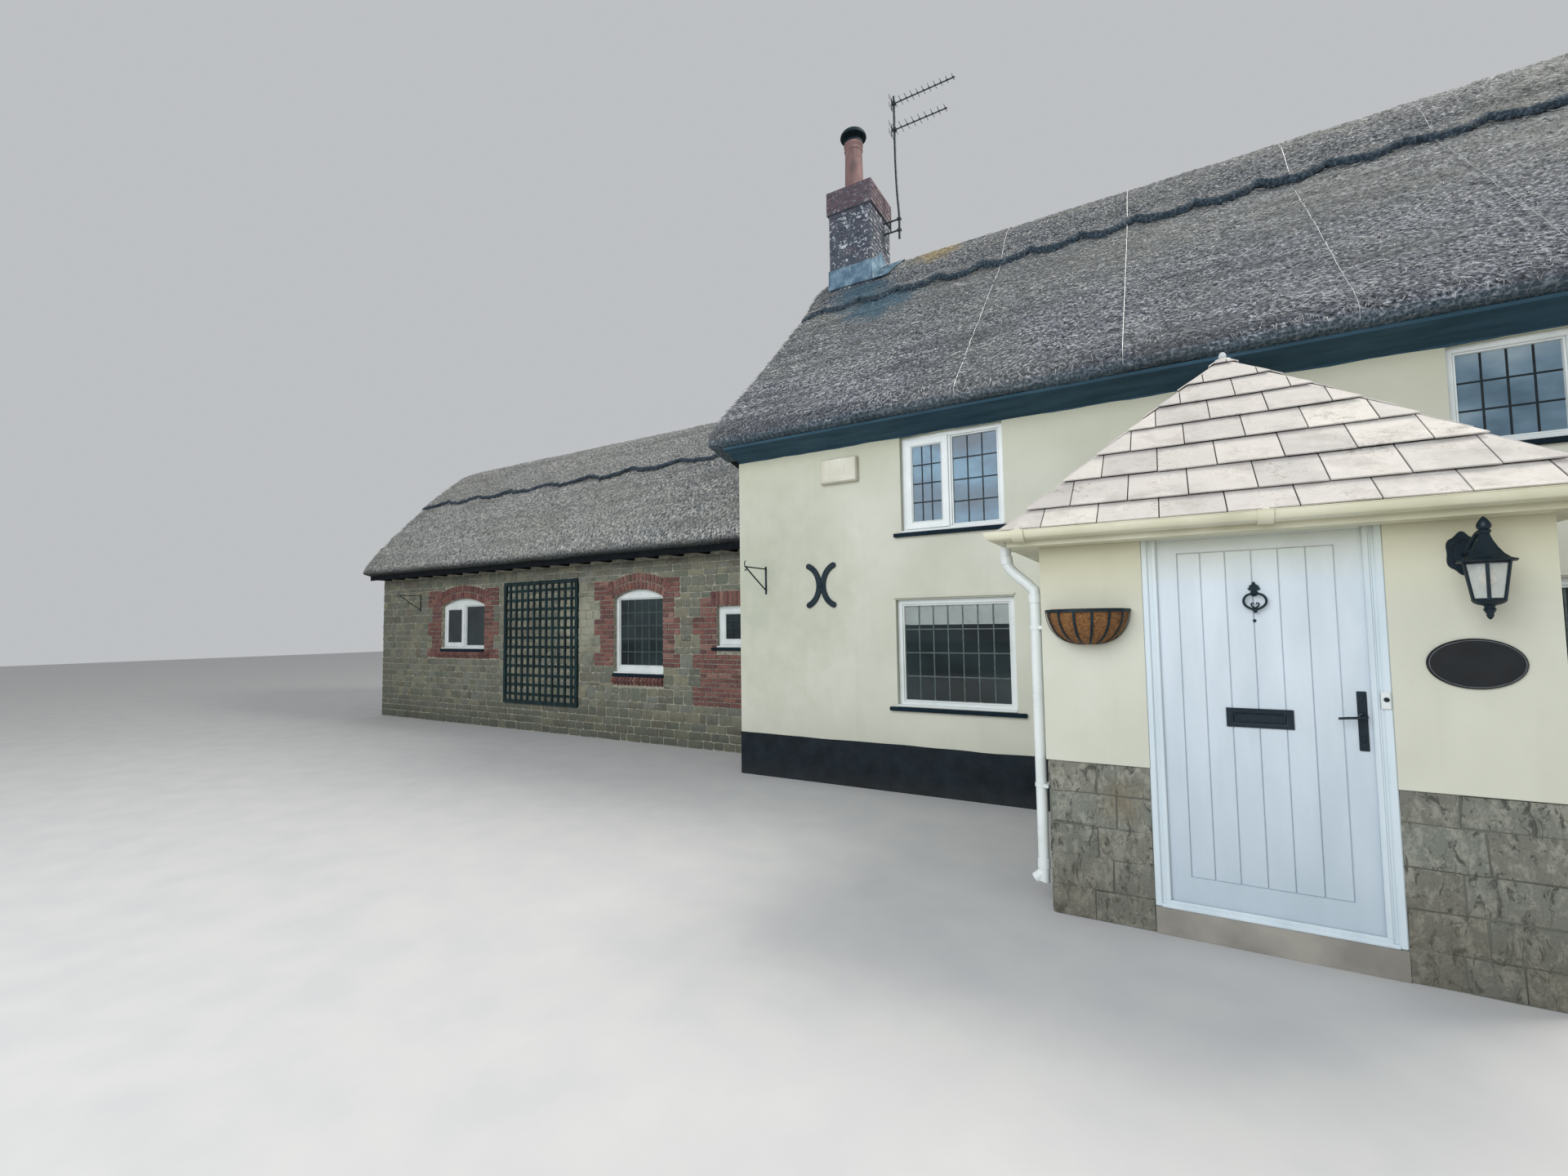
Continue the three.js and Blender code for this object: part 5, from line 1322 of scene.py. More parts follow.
def buildGutter():
    z, radius = gutterPlan["z"], gutterPlan["radius"]
    low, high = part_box("porch_roof")
    shape = newShape()
    section = halfRound(0.0, gutterPlan["wall"], z)
    mitres = ((low.x, high.y, -1, 0), (low.x, low.y, -1, -1), (high.x, low.y, 1, -1),
              (high.x, high.y, 1, 0))
    addLoops(shape, [[(x + wx * out, y + wy * out, up) for out, up in section] for x, y, wx, wy in mitres])
    band = halfRound(0.010, 0.010, z + 0.001)
    for x in gutterPlan["unions"]:
        for shift, half in ((0.0, 0.022), (-0.028, 0.006), (0.028, 0.006)):
            addLoops(shape, [[(x + shift + s, low.y - out, up) for out, up in band] for s in (-half, half)])
        lip = low.y - 2 * radius
        addBlock(shape, (x - 0.015, lip - 0.008, z - 0.004), (x + 0.015, lip + 0.006, z + 0.012), 0.002)
    for y in (low.y + 0.5, high.y - 0.5):
        for side, edge in ((-1, low.x), (1, high.x)):
            addLoops(shape, [[(edge + side * out, y + s, up) for out, up in band] for s in (-0.02, 0.02)])
    piece("porchGutter", shape, "weatheredPvc", "porch_gutter", 40)


downpipePlan = {
    "radius": 0.034, "y": -4.937,
    "path": ((-1.345, 2.283), (-1.345, 2.215), (-1.319, 2.135), (-1.194, 2.01), (-1.174, 1.94),
             (-1.174, 1.50), (-1.174, 0.26), (-1.184, 0.20), (-1.224, 0.16)),      # x and z
    "collars": (2.20, 1.93, 0.245), "clips": (1.75, 0.75),
}


def buildDownpipe():
    shape = newShape()
    radius, y, turns = downpipePlan["radius"], downpipePlan["y"], downpipePlan["path"]
    path = smoothPath([(x, y, z) for x, z in turns], 8)
    addSweep(shape, path, roundSection(radius, 20))

    # a ring that stands out by so much from the pipe, on half its length
    def addRing(out, half, blunt, place, way=(0, 0, 1)):
        profile = [(radius, -half), (radius + out, -blunt), (radius + out, blunt), (radius, half)]
        addLathe(shape, profile, place, way)

    for z in downpipePlan["collars"]:
        near = min(range(1, len(path) - 1), key=lambda i: abs(path[i].z - z))
        addRing(0.005, 0.03, 0.028, path[near], path[near + 1] - path[near - 1])
    x = turns[5][0]
    for z in downpipePlan["clips"]:
        addRing(0.004, 0.012, 0.011, (x, y, z))
        addBlock(shape, (x + 0.02, y - 0.045, z - 0.012), (-1.124, y + 0.045, z + 0.012))
    piece("porchDownpipe", shape, "extrudedPvc", "porch_downpipe", 40)


buildPorchRoof()
buildGutter()
buildDownpipe()
print("porch roofed")

# Windows

windowPlan = {
    "recess": 0.06, "frame": 0.052, "sash": 0.070, "bead": 0.018, "depth": 0.07, "proud": 0.014,
    "came": 0.007,    # half a lead strip's width; the strip is 9 mm, drawn 14 mm
}

# Each light is its share of the width, whether it opens, and its columns and rows of leaded panes
houseWindows = {
    "window_ground_left": {"lights": [(1.0, False, 7, 4)], "strip": "leadStripPaintedLight", "ledge": True,
                           "blind": 0.24},
    "window_ground_right": {"lights": [(1.0, False, 7, 4)], "strip": "leadStripPaintedLight", "ledge": True},
    "window_upper_left": {"lights": [(0.48, True, 3, 4), (0.52, False, 3, 4)], "glass": "skyGlass"},
    "window_upper_right": {"lights": [(0.35, False, 4, 3), (0.3, True, 3, 3), (0.35, False, 4, 3)],
                           "glass": "cloudGlass"},
    "window_back_ground_left": {"lights": [(0.5, True, 3, 4), (0.5, False, 3, 4)]},
    "window_back_ground_right": {"lights": [(0.5, True, 3, 4), (0.5, False, 3, 4)]},
    "window_back_upper_left": {"lights": [(0.52, True, 3, 4), (0.48, False, 3, 4)], "glass": "skyGlass"},
    "window_back_upper_right": {"lights": [(0.52, True, 3, 4), (0.48, False, 3, 4)], "glass": "skyGlass"},
    "window_wing_left": {"lights": [(0.48, True, 0, 0), (0.52, False, 0, 0)], "rise": 0.13},
    "window_wing_middle": {"lights": [(1.0, False, 6, 5)], "strip": "leadStripPaintedLight", "rise": 0.13,
                           "foot": 0.06},
    "window_wing_right": {"lights": [(1.0, True, 3, 3)]},
    "window_wing_back": {"lights": [(0.52, False, 0, 0), (0.48, True, 0, 0)], "rise": 0.13},
}


def buildWindow(node, plan):
    low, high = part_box(node)
    atFront = low.y < 0
    way = 1 if atFront else -1                       # from outdoors to indoors along y
    wallFace = low.y + 0.04 if atFront else high.y - 0.04
    face = wallFace + way * windowPlan["recess"]
    back = face + way * windowPlan["depth"]
    rise = plan.get("rise", 0.0)
    frameShape, glassShape, clearShape, leadShape, sillAndShadeStripShape, ledge = (newShape() for _ in range(6))
    x0, x1, z0, top = low.x + 0.001, high.x - 0.001, low.z + 0.001, high.z - rise
    member = windowPlan["frame"]
    innerLow, innerHigh = z0 + member + plan.get("foot", 0.0), top - (0.012 if rise else member)
    inner = (x0 + member, x1 - member, innerLow, innerHigh)
    soft = 0.004
    curve = face + way * soft
    addFrame(frameShape, (x0, x1, z0, top), inner, [
        (0, 0, back), (0, 0, curve), (0, soft, face), (1, -soft, face), (1, 0, curve), (1, 0, back),
    ])
    if rise:
        half = (x1 - x0) / 2
        radius, centre = archOver(half, rise, high.z - 0.001)
        spread = math.asin(half / radius)
        middle, foot = (x0 + x1) / 2, top - 0.01
        arc = [spread * (1 - i / 8) for i in range(17)]
        head = [(x0, foot), (x1, foot)]
        head += [(middle + radius * math.sin(a), centre + radius * math.cos(a)) for a in arc]
        addPlate(frameShape, head, face, back)
        small = [(middle + (x - middle) * 0.93, foot + (z - foot) * 0.72 + 0.004) for x, z in head]
        addPlate(frameShape, small, face - way * 0.006, back)
    left = inner[0]
    for i, (share, opens, columns, rows) in enumerate(plan["lights"]):
        right = left + (inner[1] - inner[0]) * share
        a = left + (member * 0.35 if i else 0)
        b = right - (member * 0.35 if i < len(plan["lights"]) - 1 else 0)
        if i:
            bar = member * 0.36
            addBlock(frameShape, (left - bar, face, innerLow), (left + bar, back, innerHigh), soft)
        light = (a, b, innerLow, innerHigh)
        pane = grown(light, -windowPlan["sash" if opens else "bead"])
        front = face + way * (-windowPlan["proud"] if opens else 0.012)
        addFrame(frameShape, grown(light, 0.012 if opens else 0.0), pane, [
            (0, 0, back - way * 0.01), (0, 0, front + way * soft), (0, soft, front), (0.8, 0, front),
            (1, 0, front + way * 0.014), (1, 0, back - way * 0.01),
        ])
        near = front + way * 0.022
        far = near + way * 0.006
        g0, g1, gz0, gz1 = grown(pane, 0.004)
        split = top - 0.03 - plan["blind"] if "blind" in plan else gz1
        addBlock(glassShape, (g0, near, gz0), (g1, far, split), 0.0005)
        if "blind" in plan:
            addBlock(clearShape, (g0, near, split), (g1, far, gz1), 0.0005)
        came, behind = windowPlan["came"], near + way * 0.002
        for k in range(1, columns):
            x = pane[0] + (pane[1] - pane[0]) * k / columns
            addBlock(leadShape, (x - came, near - way * 0.003, pane[2]), (x + came, behind, pane[3]), 0.0015)
        for k in range(1, rows):
            z = pane[2] + (pane[3] - pane[2]) * k / rows
            over = near - way * 0.0035
            addBlock(leadShape, (pane[0], over, z - came), (pane[1], behind, z + came), 0.0015)
        if opens:
            z = innerLow + (innerHigh - innerLow) * 0.45
            x = a + 0.02 if i else b - 0.02
            addBlock(frameShape, (x - 0.008, front + way * 0.05, z - 0.04),
                     (x + 0.008, front + way * 0.09, z + 0.04))
        left = right
    addBlock(frameShape, (x0, wallFace - way * 0.012, z0), (x1, back, z0 + 0.022), 0.005)
    # under an arched frame, a thin black strip: painted shade for the dark line between the frame and its
    # brick sill; other windows get a real black sill
    if rise:
        addBlock(sillAndShadeStripShape, (low.x - 0.02, wallFace - way * 0.03, low.z - 0.05),
                 (high.x + 0.01, back, low.z - 0.001), 0.006)
    else:
        end = high.x + (0.09 if "ledge" in plan else 0.07)
        addBlock(sillAndShadeStripShape, (low.x - 0.08, wallFace - way * 0.045, low.z - 0.042),
                 (end, wallFace - way * 0.0005, low.z - 0.002), 0.006)
        addBlock(sillAndShadeStripShape, (x0, wallFace, low.z), (x1, face, low.z + 0.004), 0.001)
    if "ledge" in plan:
        addBlock(ledge, (low.x - 0.02, wallFace - way * 0.022, high.z + 0.012),
                 (high.x + 0.01, wallFace + way * 0.001, high.z + 0.036), 0.006)
    name = node.replace("window_", "").title().replace("_", "")
    piece("frame" + name, frameShape, "extrudedPvc", node, 30)
    for part, shape, finish in (
        ("glass", glassShape, plan.get("glass", "roomGlass")), ("clearGlass", clearShape, "clearGlass"),
        ("leads", leadShape, plan.get("strip", "leadStrip")), ("sill", sillAndShadeStripShape, "blackPaintedSoftwood"),
        ("ledge", ledge, "limeRender"),
    ):
        if shape["points"]:
            piece(part + name, shape, finish)
    if "blind" in plan:
        buildBlind(plan["blind"], x0 + 0.06, x1 - 0.06, top - 0.03, back + way * 0.028)


# A roller blind let down a little behind the glass, with its tube, pull bar and a soft sag
def buildBlind(drop, x0, x1, top, y):
    steps, rows = 24, 10
    width = x1 - x0
    cloth, fittings = newShape(), newShape()
    addLoops(cloth, [[
        (x0 + width * k / steps, y + 0.002 * math.sin(k * 0.9) * i / rows, top - drop * i / rows)
        for k in range(steps + 1)
    ] for i in range(rows + 1)], closed=False)
    blind = piece("rollerBlind", cloth, "wovenBlind")
    profile = [(0.0, 0), (0.022, 0.001), (0.022, width + 0.018), (0.0, width + 0.02)]
    addLathe(fittings, profile, (x0 - 0.01, y + 0.02, top), (1, 0, 0), 16)
    addBlock(fittings, (x0, y - 0.005, top - drop - 0.012), (x1, y + 0.005, top - drop + 0.004))
    bar = piece("blindTubeAndBar", fittings, "extrudedPvc", smooth=40)


for windowNode, windowLook in houseWindows.items():
    buildWindow(windowNode, windowLook)
print("windows glazed")

# Front door

doorPlan = {
    "leaf": (-0.487, 0.447, 0.187, 2.255), "front": -5.000, "back": -4.935,
    "skin": 0.010, "groove": 0.0045,
    "grooves": (-0.375, -0.263, -0.145, -0.025, 0.094, 0.213, 0.33), "fieldBottom": 0.335, "fieldTop": 2.169,
}


def buildDoorLeaf():
    shape = newShape()
    leaf, grooves = doorPlan["leaf"], doorPlan["grooves"]
    front, back, groove = doorPlan["front"], doorPlan["back"], doorPlan["groove"]
    skin, foot, head = front + doorPlan["skin"], doorPlan["fieldBottom"], doorPlan["fieldTop"]
    addBlock(shape, (leaf[0], skin, leaf[2]), (leaf[1], back, leaf[3]))
    addFrame(shape, leaf, (grooves[0], grooves[-1], foot, head), [
        (0, 0, skin + 0.002), (0, 0, front + 0.003), (0, 0.003, front), (1, -groove, front),
        (1, 0, front + groove * 1.4), (1, 0.0, skin + 0.002),
    ])
    for a, b in zip(grooves, grooves[1:]):
        addBlock(shape, (a + 0.001, front, foot + 0.001), (b - 0.001, skin + 0.002, head - 0.001), groove)
    x, y = -0.4905, -4.925      # the hinge's pin
    for z in (0.43, 1.22, 2.01):
        addLathe(shape, [(0.0, 0), (0.008, 0.0005), (0.008, 0.0485), (0.0, 0.049)], (x, y, z), sides=16)
        addBlock(shape, (x, back - 0.002, z), (x + 0.04, y + 0.003, z + 0.049), 0.001)
    piece("doorLeaf", shape, "mouldedDoorSkin", "door_leaf", 30, "front_door")


forwards = (0, -1, 0)


def buildHandle():
    shape = newShape()
    low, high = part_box("door_handle_plate")
    addBlock(shape, low, high, 0.004)
    middle, lockZ, leverZ = (low.x + high.x) / 2, 1.173, 1.28
    for z, profile, sides in (
        (high.z - 0.035, [(0.006, 0.0), (0.006, 0.001), (0.0, 0.0025)], 14),
        (low.z + 0.022, [(0.006, 0.0), (0.006, 0.001), (0.0, 0.0025)], 14),
        (lockZ, [(0.0105, 0), (0.0105, 0.004), (0.009, 0.006), (0.0, 0.0062)], 20),
    ):
        addLathe(shape, profile, (middle, low.y, z), forwards, sides)
    addBlock(shape, (middle - 0.006, low.y - 0.0055, lockZ - 0.026), (middle + 0.006, low.y + 0.001, lockZ))
    rose = [(0.021, 0), (0.021, 0.006), (0.018, 0.009), (0.0125, 0.010), (0.0125, 0.0)]
    addLathe(shape, rose, (middle, low.y, leverZ), forwards, 24)
    piece("handlePlate", shape, "powderCoat", "door_handle_plate", 35, "front_door")

    lever = newShape()
    leverLow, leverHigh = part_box("door_lever")
    inY, outY = leverHigh.y - 0.005, leverLow.y + 0.005
    for y, sign in ((outY, -1), (inY, 1)):
        path = [(middle + a, y + sign * b, c) for a, b, c in (
            (0, -0.03, 1.28), (0, -0.008, 1.28), (-0.012, 0.001, 1.279), (-0.05, 0.001, 1.2765),
            (-0.09, 0, 1.2725), (-0.105, -0.001, 1.270),
        )]
        addSweep(lever, smoothPath(path), flatSection(0.017, 0.014, 0.005), thin=lambda t: 1.05 - 0.25 * t)
    bar = [(0.0, 0), (0.0095, 0.0005), (0.0095, inY - outY), (0.0, inY - outY + 0.0005)]
    addLathe(lever, bar, (middle, outY, leverZ), (0, 1, 0))
    piece("leverHandle", lever, "powderCoat", "door_lever", 45, "lever_handle")


def buildLetterPlate():
    letter = newShape()
    low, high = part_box("letter_plate")
    y, back = low.y, high.y
    rim = (low.x + 0.033, high.x - 0.033, low.z + 0.026, high.z - 0.026)
    addFrame(letter, frontOf(low, high), rim, [
        (0, 0, back), (0, 0, y + 0.003), (0, 0.003, y), (0.82, 0, y), (1, 0, y + 0.003), (1, 0, back),
    ])
    x0, x1, z0, z1 = grown(rim, -0.001)
    addBlock(letter, (x0, y + 0.002, z0), (x1, back, z1))
    inset = 0.012
    flap = (rim[0] + inset, rim[1] - inset, rim[2] + inset * 0.7, rim[3] - inset * 0.7)
    addFrame(letter, grown(rim, -0.004), flap, [
        (0, 0, back), (0, 0, y), (1, 0, y), (1, 0.001, y + 0.002), (1, 0.001, back),
    ])
    piece("letterPlate", letter, "powderCoat", "letter_plate", 35, "front_door")


fleur = ((0, 0.062), (0.007, 0.056), (0.006, 0.048), (0.014, 0.044), (0.023, 0.038), (0.020, 0.030),
         (0.029, 0.026), (0.024, 0.016), (0.013, 0.014), (0.016, 0.004), (0.015, -0.012), (0.008, -0.018))
ringHalf = ((0, -0.002), (0.018, -0.006), (0.038, -0.016), (0.050, -0.036), (0.049, -0.058), (0.036, -0.076),
            (0.016, -0.088), (0, -0.092))
ringCurl = ((0.003, -0.084), (0.014, -0.072), (0.017, -0.060), (0.008, -0.056), (0.006, -0.064))


def buildKnocker():
    front = doorPlan["front"]
    x, z = -0.02, 1.93
    plate, ring = newShape(), newShape()
    addPlate(plate, [(x + a, z + b) for a, b in fleur] + [(x - a, z + b) for a, b in fleur[:0:-1]],
             front - 0.012, front)
    addBlock(plate, (x - 0.008, front - 0.036, z - 0.012), (x + 0.008, front - 0.004, z + 0.012), 0.004)
    strike = [(0.012, 0.0), (0.012, 0.004), (0.008, 0.009), (0.007, 0.013), (0.0, 0.015)]
    addLathe(plate, strike, (x, front, z - 0.09), forwards, 16)
    viewer = [(0.0085, 0.0), (0.0085, 0.003), (0.006, 0.0045), (0.0, 0.005)]
    addLathe(plate, viewer, (-0.024, front, 1.777), forwards, 16)
    piece("knockerPlate", plate, "paintedIron", "knocker_plate", 40, "front_door")

    y = front - 0.026
    knots = [(x + a, y, z + b) for a, b in ringHalf] + [(x - a, y, z + b) for a, b in ringHalf[-2:0:-1]]
    addSweep(ring, smoothPath(knots, 5, ring=True), roundSection(0.0062, 8), ring=True, up=(0, 1, 0))
    for side in (-1, 1):
        curl = smoothPath([(x + side * a, y, z + b) for a, b in ringCurl], 5)
        addSweep(ring, curl, roundSection(0.0042, 6), up=(0, 1, 0), thin=lambda t: 1.1 - 0.5 * t)
    drop = [(0.0, -0.112), (0.006, -0.108), (0.010, -0.100), (0.009, -0.093), (0.006, -0.088), (0.0, -0.086)]
    addLathe(ring, drop, (x, y, z), sides=12)
    piece("knockerRing", ring, "paintedIron", "knocker_ring", 50, "knocker")


def buildDoorFrameTrim():
    low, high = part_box("door_frame")
    y = low.y
    shape, bell, button = newShape(), newShape(), newShape()
    left, right = low.x - 0.001, high.x + 0.001
    bars = [(x0, x1, y - 0.012, y + 0.004, 0.151, high.z - 0.065, 0.006)
            for x0, x1 in ((left, low.x + 0.034), (high.x - 0.034, right))]
    bars += [(x0, x1, y - 0.005, y + 0.003, z0, z1, 0.0045) for x0, x1, z0, z1 in (
        (low.x + 0.045, low.x + 0.062, 0.19, 2.26), (high.x - 0.062, high.x - 0.045, 0.19, 2.26),
        (low.x + 0.045, high.x - 0.045, 2.263, 2.28),
    )]
    bars.append((left + 0.03, right - 0.03, y - 0.020, y + 0.004, 0.151, 0.172, 0.005))
    # stops in front of the leaf's edges: they cover its gap and stay 6 mm clear of it
    bars += [(x0, x1, -5.022, -5.006, z0, z1, 0.005) for x0, x1, z0, z1 in (
        (-0.507, -0.481, 0.19, 2.275), (0.441, 0.467, 0.19, 2.275), (-0.481, 0.441, 2.249, 2.275),
        (-0.507, 0.467, 0.165, 0.194),
    )]
    for x0, x1, y0, y1, z0, z1, bevel in bars:
        addBlock(shape, (x0, y0, z0), (x1, y1, z1), bevel)
    piece("doorFrameTrim", shape, "foilWrappedPvc", smooth=35)
    x0, x1 = 0.474, 0.513
    addBlock(bell, (x0, y - 0.024, 1.323), (x1, y - 0.001, 1.411), 0.006)
    piece("doorbell", bell, "extrudedPvc", smooth=35)
    push = [(0.0115, 0.0), (0.0115, 0.003), (0.010, 0.0045), (0.0, 0.005)]
    addLathe(button, push, ((x0 + x1) / 2, y - 0.024, 1.373), forwards)
    piece("doorbellButton", button, "powderCoat", smooth=35)


buildDoorLeaf()
buildHandle()
buildLetterPlate()
buildKnocker()
buildDoorFrameTrim()
print("door hung")

# Chimney top

# Distances from the middle of the stack; block gives the ridge block's top as (distance, height)
flashingPlan = {
    "block": ((0.0, 7.41), (0.27, 7.175), (0.54, 6.905), (0.81, 6.515)),
    "apron": 0.43, "frontTop": 7.35, "sideTop": 7.655, "leftOut": 0.018, "shoulder": 0.27, "tip": 0.396,
    "stand": 0.016, "thick": 0.004,
}


# Lead dressed round the foot of the stack in lapped sheets, and out over the ridge to a point on the right
def buildFlashing():
    plan = flashingPlan
    x0, x1, y0, y1 = stackFaces()
    stand, apron, frontTop = plan["stand"], plan["apron"], plan["frontTop"]
    thick = Vector((0, 0, plan["thick"]))
    shape = newShape()

    def blockTop(y):
        return heightAt(plan["block"], abs(y))

    def upstandTop(y):
        return frontTop + (plan["sideTop"] - frontTop) * max(0.0, 1 - abs(y) / -y0)

    # a sheet from its foot to its top along a run; lap is how far it lies over the next one
    def upstand(run, out, lap):
        loops = []
        for x, y, top in run:
            foot, top = Vector((x, y, blockTop(y) + 0.004)), Vector((x, y, top))
            bow = 0.005 * lump(foot, 0.16, 4.0)
            middle = foot.lerp(top, 0.5) + out * (bow + lap)
            lip = top + out * (0.002 + lap)
            toe = foot + out * (0.014 + lap) + Vector((0, 0, 0.006))
            loops.append([toe, middle, lip] + [p - out * plan["thick"] for p in (lip, middle, toe)])
        addLoops(shape, loops)

    for side, y in ((-1, y0 - stand), (1, y1 + stand)):
        for part, (a, b, lap) in enumerate(((x0 - stand, x1 - 0.10, 0.003), (x1 - 0.13, x1 + stand, 0.0))):
            run = [(a + (b - a) * i / 6, y, frontTop + part * 0.012) for i in range(7)]
            upstand(run, Vector((0, side, 0)), lap)
    for side, x in ((-1, x0 - stand), (1, x1 + stand)):
        for a, b, lap in ((y0 - stand, -0.12, 0.0), (-0.16, 0.16, 0.003), (0.12, y1 + stand, 0.0)):
            ys = [a + (b - a) * i / 6 for i in range(7)]
            upstand([(x, y, upstandTop(y)) for y in ys], Vector((side, 0, 0)), lap)
    # the flap on the right, raised at its rim, and a narrow tray round the other sides
    rows = 18
    loops = []
    for i in range(rows + 1):
        y = -apron + 2 * apron * i / rows
        reach = plan["shoulder"] + (plan["tip"] - plan["shoulder"]) * (1 - abs(y) / apron)
        line = []
        for share in (0.0, 0.35, 0.7, 0.92, 1.0):
            x = x1 + 0.004 + reach * share
            lift = 0.014 + 0.009 * share ** 4 + 0.005 * lump(Vector((x, y, 0)), 0.12, 2.0)
            line.append(Vector((x, y, blockTop(y) + lift)))
        loops.append(line + [p - thick for p in line[::-1]])
    addLoops(shape, loops)
    for side in (-1, 1):
        near, far = side * (abs(y0) + 0.002), side * apron
        loops = []
        for i in range(15):
            x = x0 - plan["leftOut"] + (x1 - x0 + plan["leftOut"] + plan["shoulder"] * 0.6) * i / 14
            wave = 0.004 * lump(Vector((x, side, 0)), 0.12, 4.0)
            top = [Vector((x, near, blockTop(near) + 0.016)), Vector((x, far, blockTop(far) + 0.016 + wave))]
            loops.append(top + [p - thick for p in top[::-1]])
        addLoops(shape, loops)
    piece("chimneyFlashing", shape, "milledLead", "chimney_flashing", 50)


potProfile = [
    (0.125, 0.001), (0.166, 0.0), (0.164, 0.02), (0.152, 0.07), (0.146, 0.4), (0.137, 0.80), (0.137, 0.83),
    (0.147, 0.84), (0.150, 0.852), (0.147, 0.864), (0.138, 0.874), (0.138, 0.90), (0.150, 0.915),
    (0.154, 0.93), (0.154, 0.955), (0.148, 0.968), (0.122, 0.969), (0.12, 0.90),
]
cowlRing = [(0.085, 0.002), (0.152, 0.002), (0.152, 0.028), (0.085, 0.028)]
cowlHood = [
    (0.17, 0.120), (0.209, 0.104), (0.213, 0.116), (0.207, 0.144), (0.184, 0.178), (0.140, 0.208),
    (0.082, 0.229), (0.02, 0.238), (0.0, 0.239),
]


def buildPotAndCowl():
    low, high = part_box("chimney_pot")
    x = (low.x + high.x) / 2
    pot, flaunch, cowl = newShape(), newShape(), newShape()
    addLathe(pot, potProfile, (x, 0, low.z), sides=40)
    piece("chimneyPot", pot, "firedClay", "chimney_pot", 40)
    stackLow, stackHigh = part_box("chimney")
    halfX, halfY = (stackHigh.x - stackLow.x) / 2, (stackHigh.y - stackLow.y) / 2
    centre = Vector(((stackLow.x + stackHigh.x) / 2, 0, stackHigh.z))
    ringLow = []
    for a, b in roundSection(1, 32):
        reach = min(halfX / max(abs(a), 0.001), halfY / max(abs(b), 0.001)) - 0.05
        ringLow.append(centre + Vector((a, b, 0)) * reach)
    addLoops(flaunch, [ringLow, [(x + a, b, stackHigh.z + 0.05) for a, b in roundSection(0.20, 32)]])
    piece("chimneyFlaunching", flaunch, "sootedMortar", smooth=40)
    addLathe(cowl, cowlRing, (x, 0, high.z), sides=40)

    def addBars(places, tall, section):
        for a, b in places:
            foot = high.z + 0.02
            addSweep(cowl, [(x + a, b, foot), (x + a, b, foot + tall)], section)

    addBars(roundSection(0.115, 6, math.pi / 6), 0.13, flatSection(0.02, 0.004, 0.001))
    addLathe(cowl, cowlHood, (x, 0, high.z), sides=40)
    addBars(roundSection(0.148, 24), 0.115, roundSection(0.0022, 4))
    piece("chimneyCowl", cowl, "paintedIron", "chimney_cowl", 40)


aerialPlan = {
    "y": 0.15, "radius": 0.019,
    "mast": ((-3.875, 7.88), (-3.872, 8.25), (-3.90, 8.7), (-3.915, 9.3), (-3.915, 10.25)),    # x and z
    "arrays": (
        {"z": 10.13, "from": -3.955, "to": -2.93, "rods": 11, "length": 0.22},
        {"z": 9.69, "from": -3.965, "to": -3.06, "rods": 9, "length": 0.26},
    ),
}


def buildAerial():
    shape = newShape()
    y = aerialPlan["y"]
    face = stackFaces()[1] + 0.001
    mast = smoothPath([(x, y, z) for x, z in aerialPlan["mast"]], 8)
    addSweep(shape, mast, roundSection(aerialPlan["radius"], 12))
    for z in (8.02, 8.20):
        addSweep(shape, [(face, y, z), (-3.87, y, z)], flatSection(0.022, 0.022, 0.003))
        addBlock(shape, (-3.905, y - 0.03, z - 0.02), (-3.845, y + 0.03, z + 0.02), 0.004)
    addBlock(shape, (face, y - 0.015, 7.97), (face + 0.008, y + 0.015, 8.25), 0.002)
    addSweep(shape, [(-4.02, y, 8.02), (-4.02, y, 8.20)], flatSection(0.02, 0.02, 0.003))
    for array in aerialPlan["arrays"]:
        z, start, end = array["z"], array["from"], array["to"]
        addSweep(shape, [(start, y, z), (end, y, z)], flatSection(0.016, 0.016, 0.002))
        addBlock(shape, (-3.945, y - 0.03, z - 0.025), (-3.885, y + 0.03, z + 0.025), 0.004)
        for i in range(array["rods"]):
            share = i / (array["rods"] - 1)
            x = start + 0.06 + (end - start - 0.09) * share
            half = array["length"] / 2 * (1 - 0.35 * share)
            addSweep(shape, [(x, y - half, z + 0.012), (x, y + half, z + 0.012)], roundSection(0.0045, 6))
            addBlock(shape, (x - 0.012, y - 0.012, z), (x + 0.012, y + 0.012, z + 0.018))
        for up in (-0.09, -0.045, 0.045, 0.09):
            addSweep(shape, [(start, y - 0.13, z + up), (start, y + 0.13, z + up)], roundSection(0.0035, 6))
        addSweep(shape, [(start, y, z - 0.1), (start, y, z + 0.1)], flatSection(0.012, 0.012, 0.002))
    piece("tvAerial", shape, "drawnAluminium", "tv_aerial", 40)


buildFlashing()
buildPotAndCowl()
buildAerial()
print("chimney capped")

# Fittings on the walls

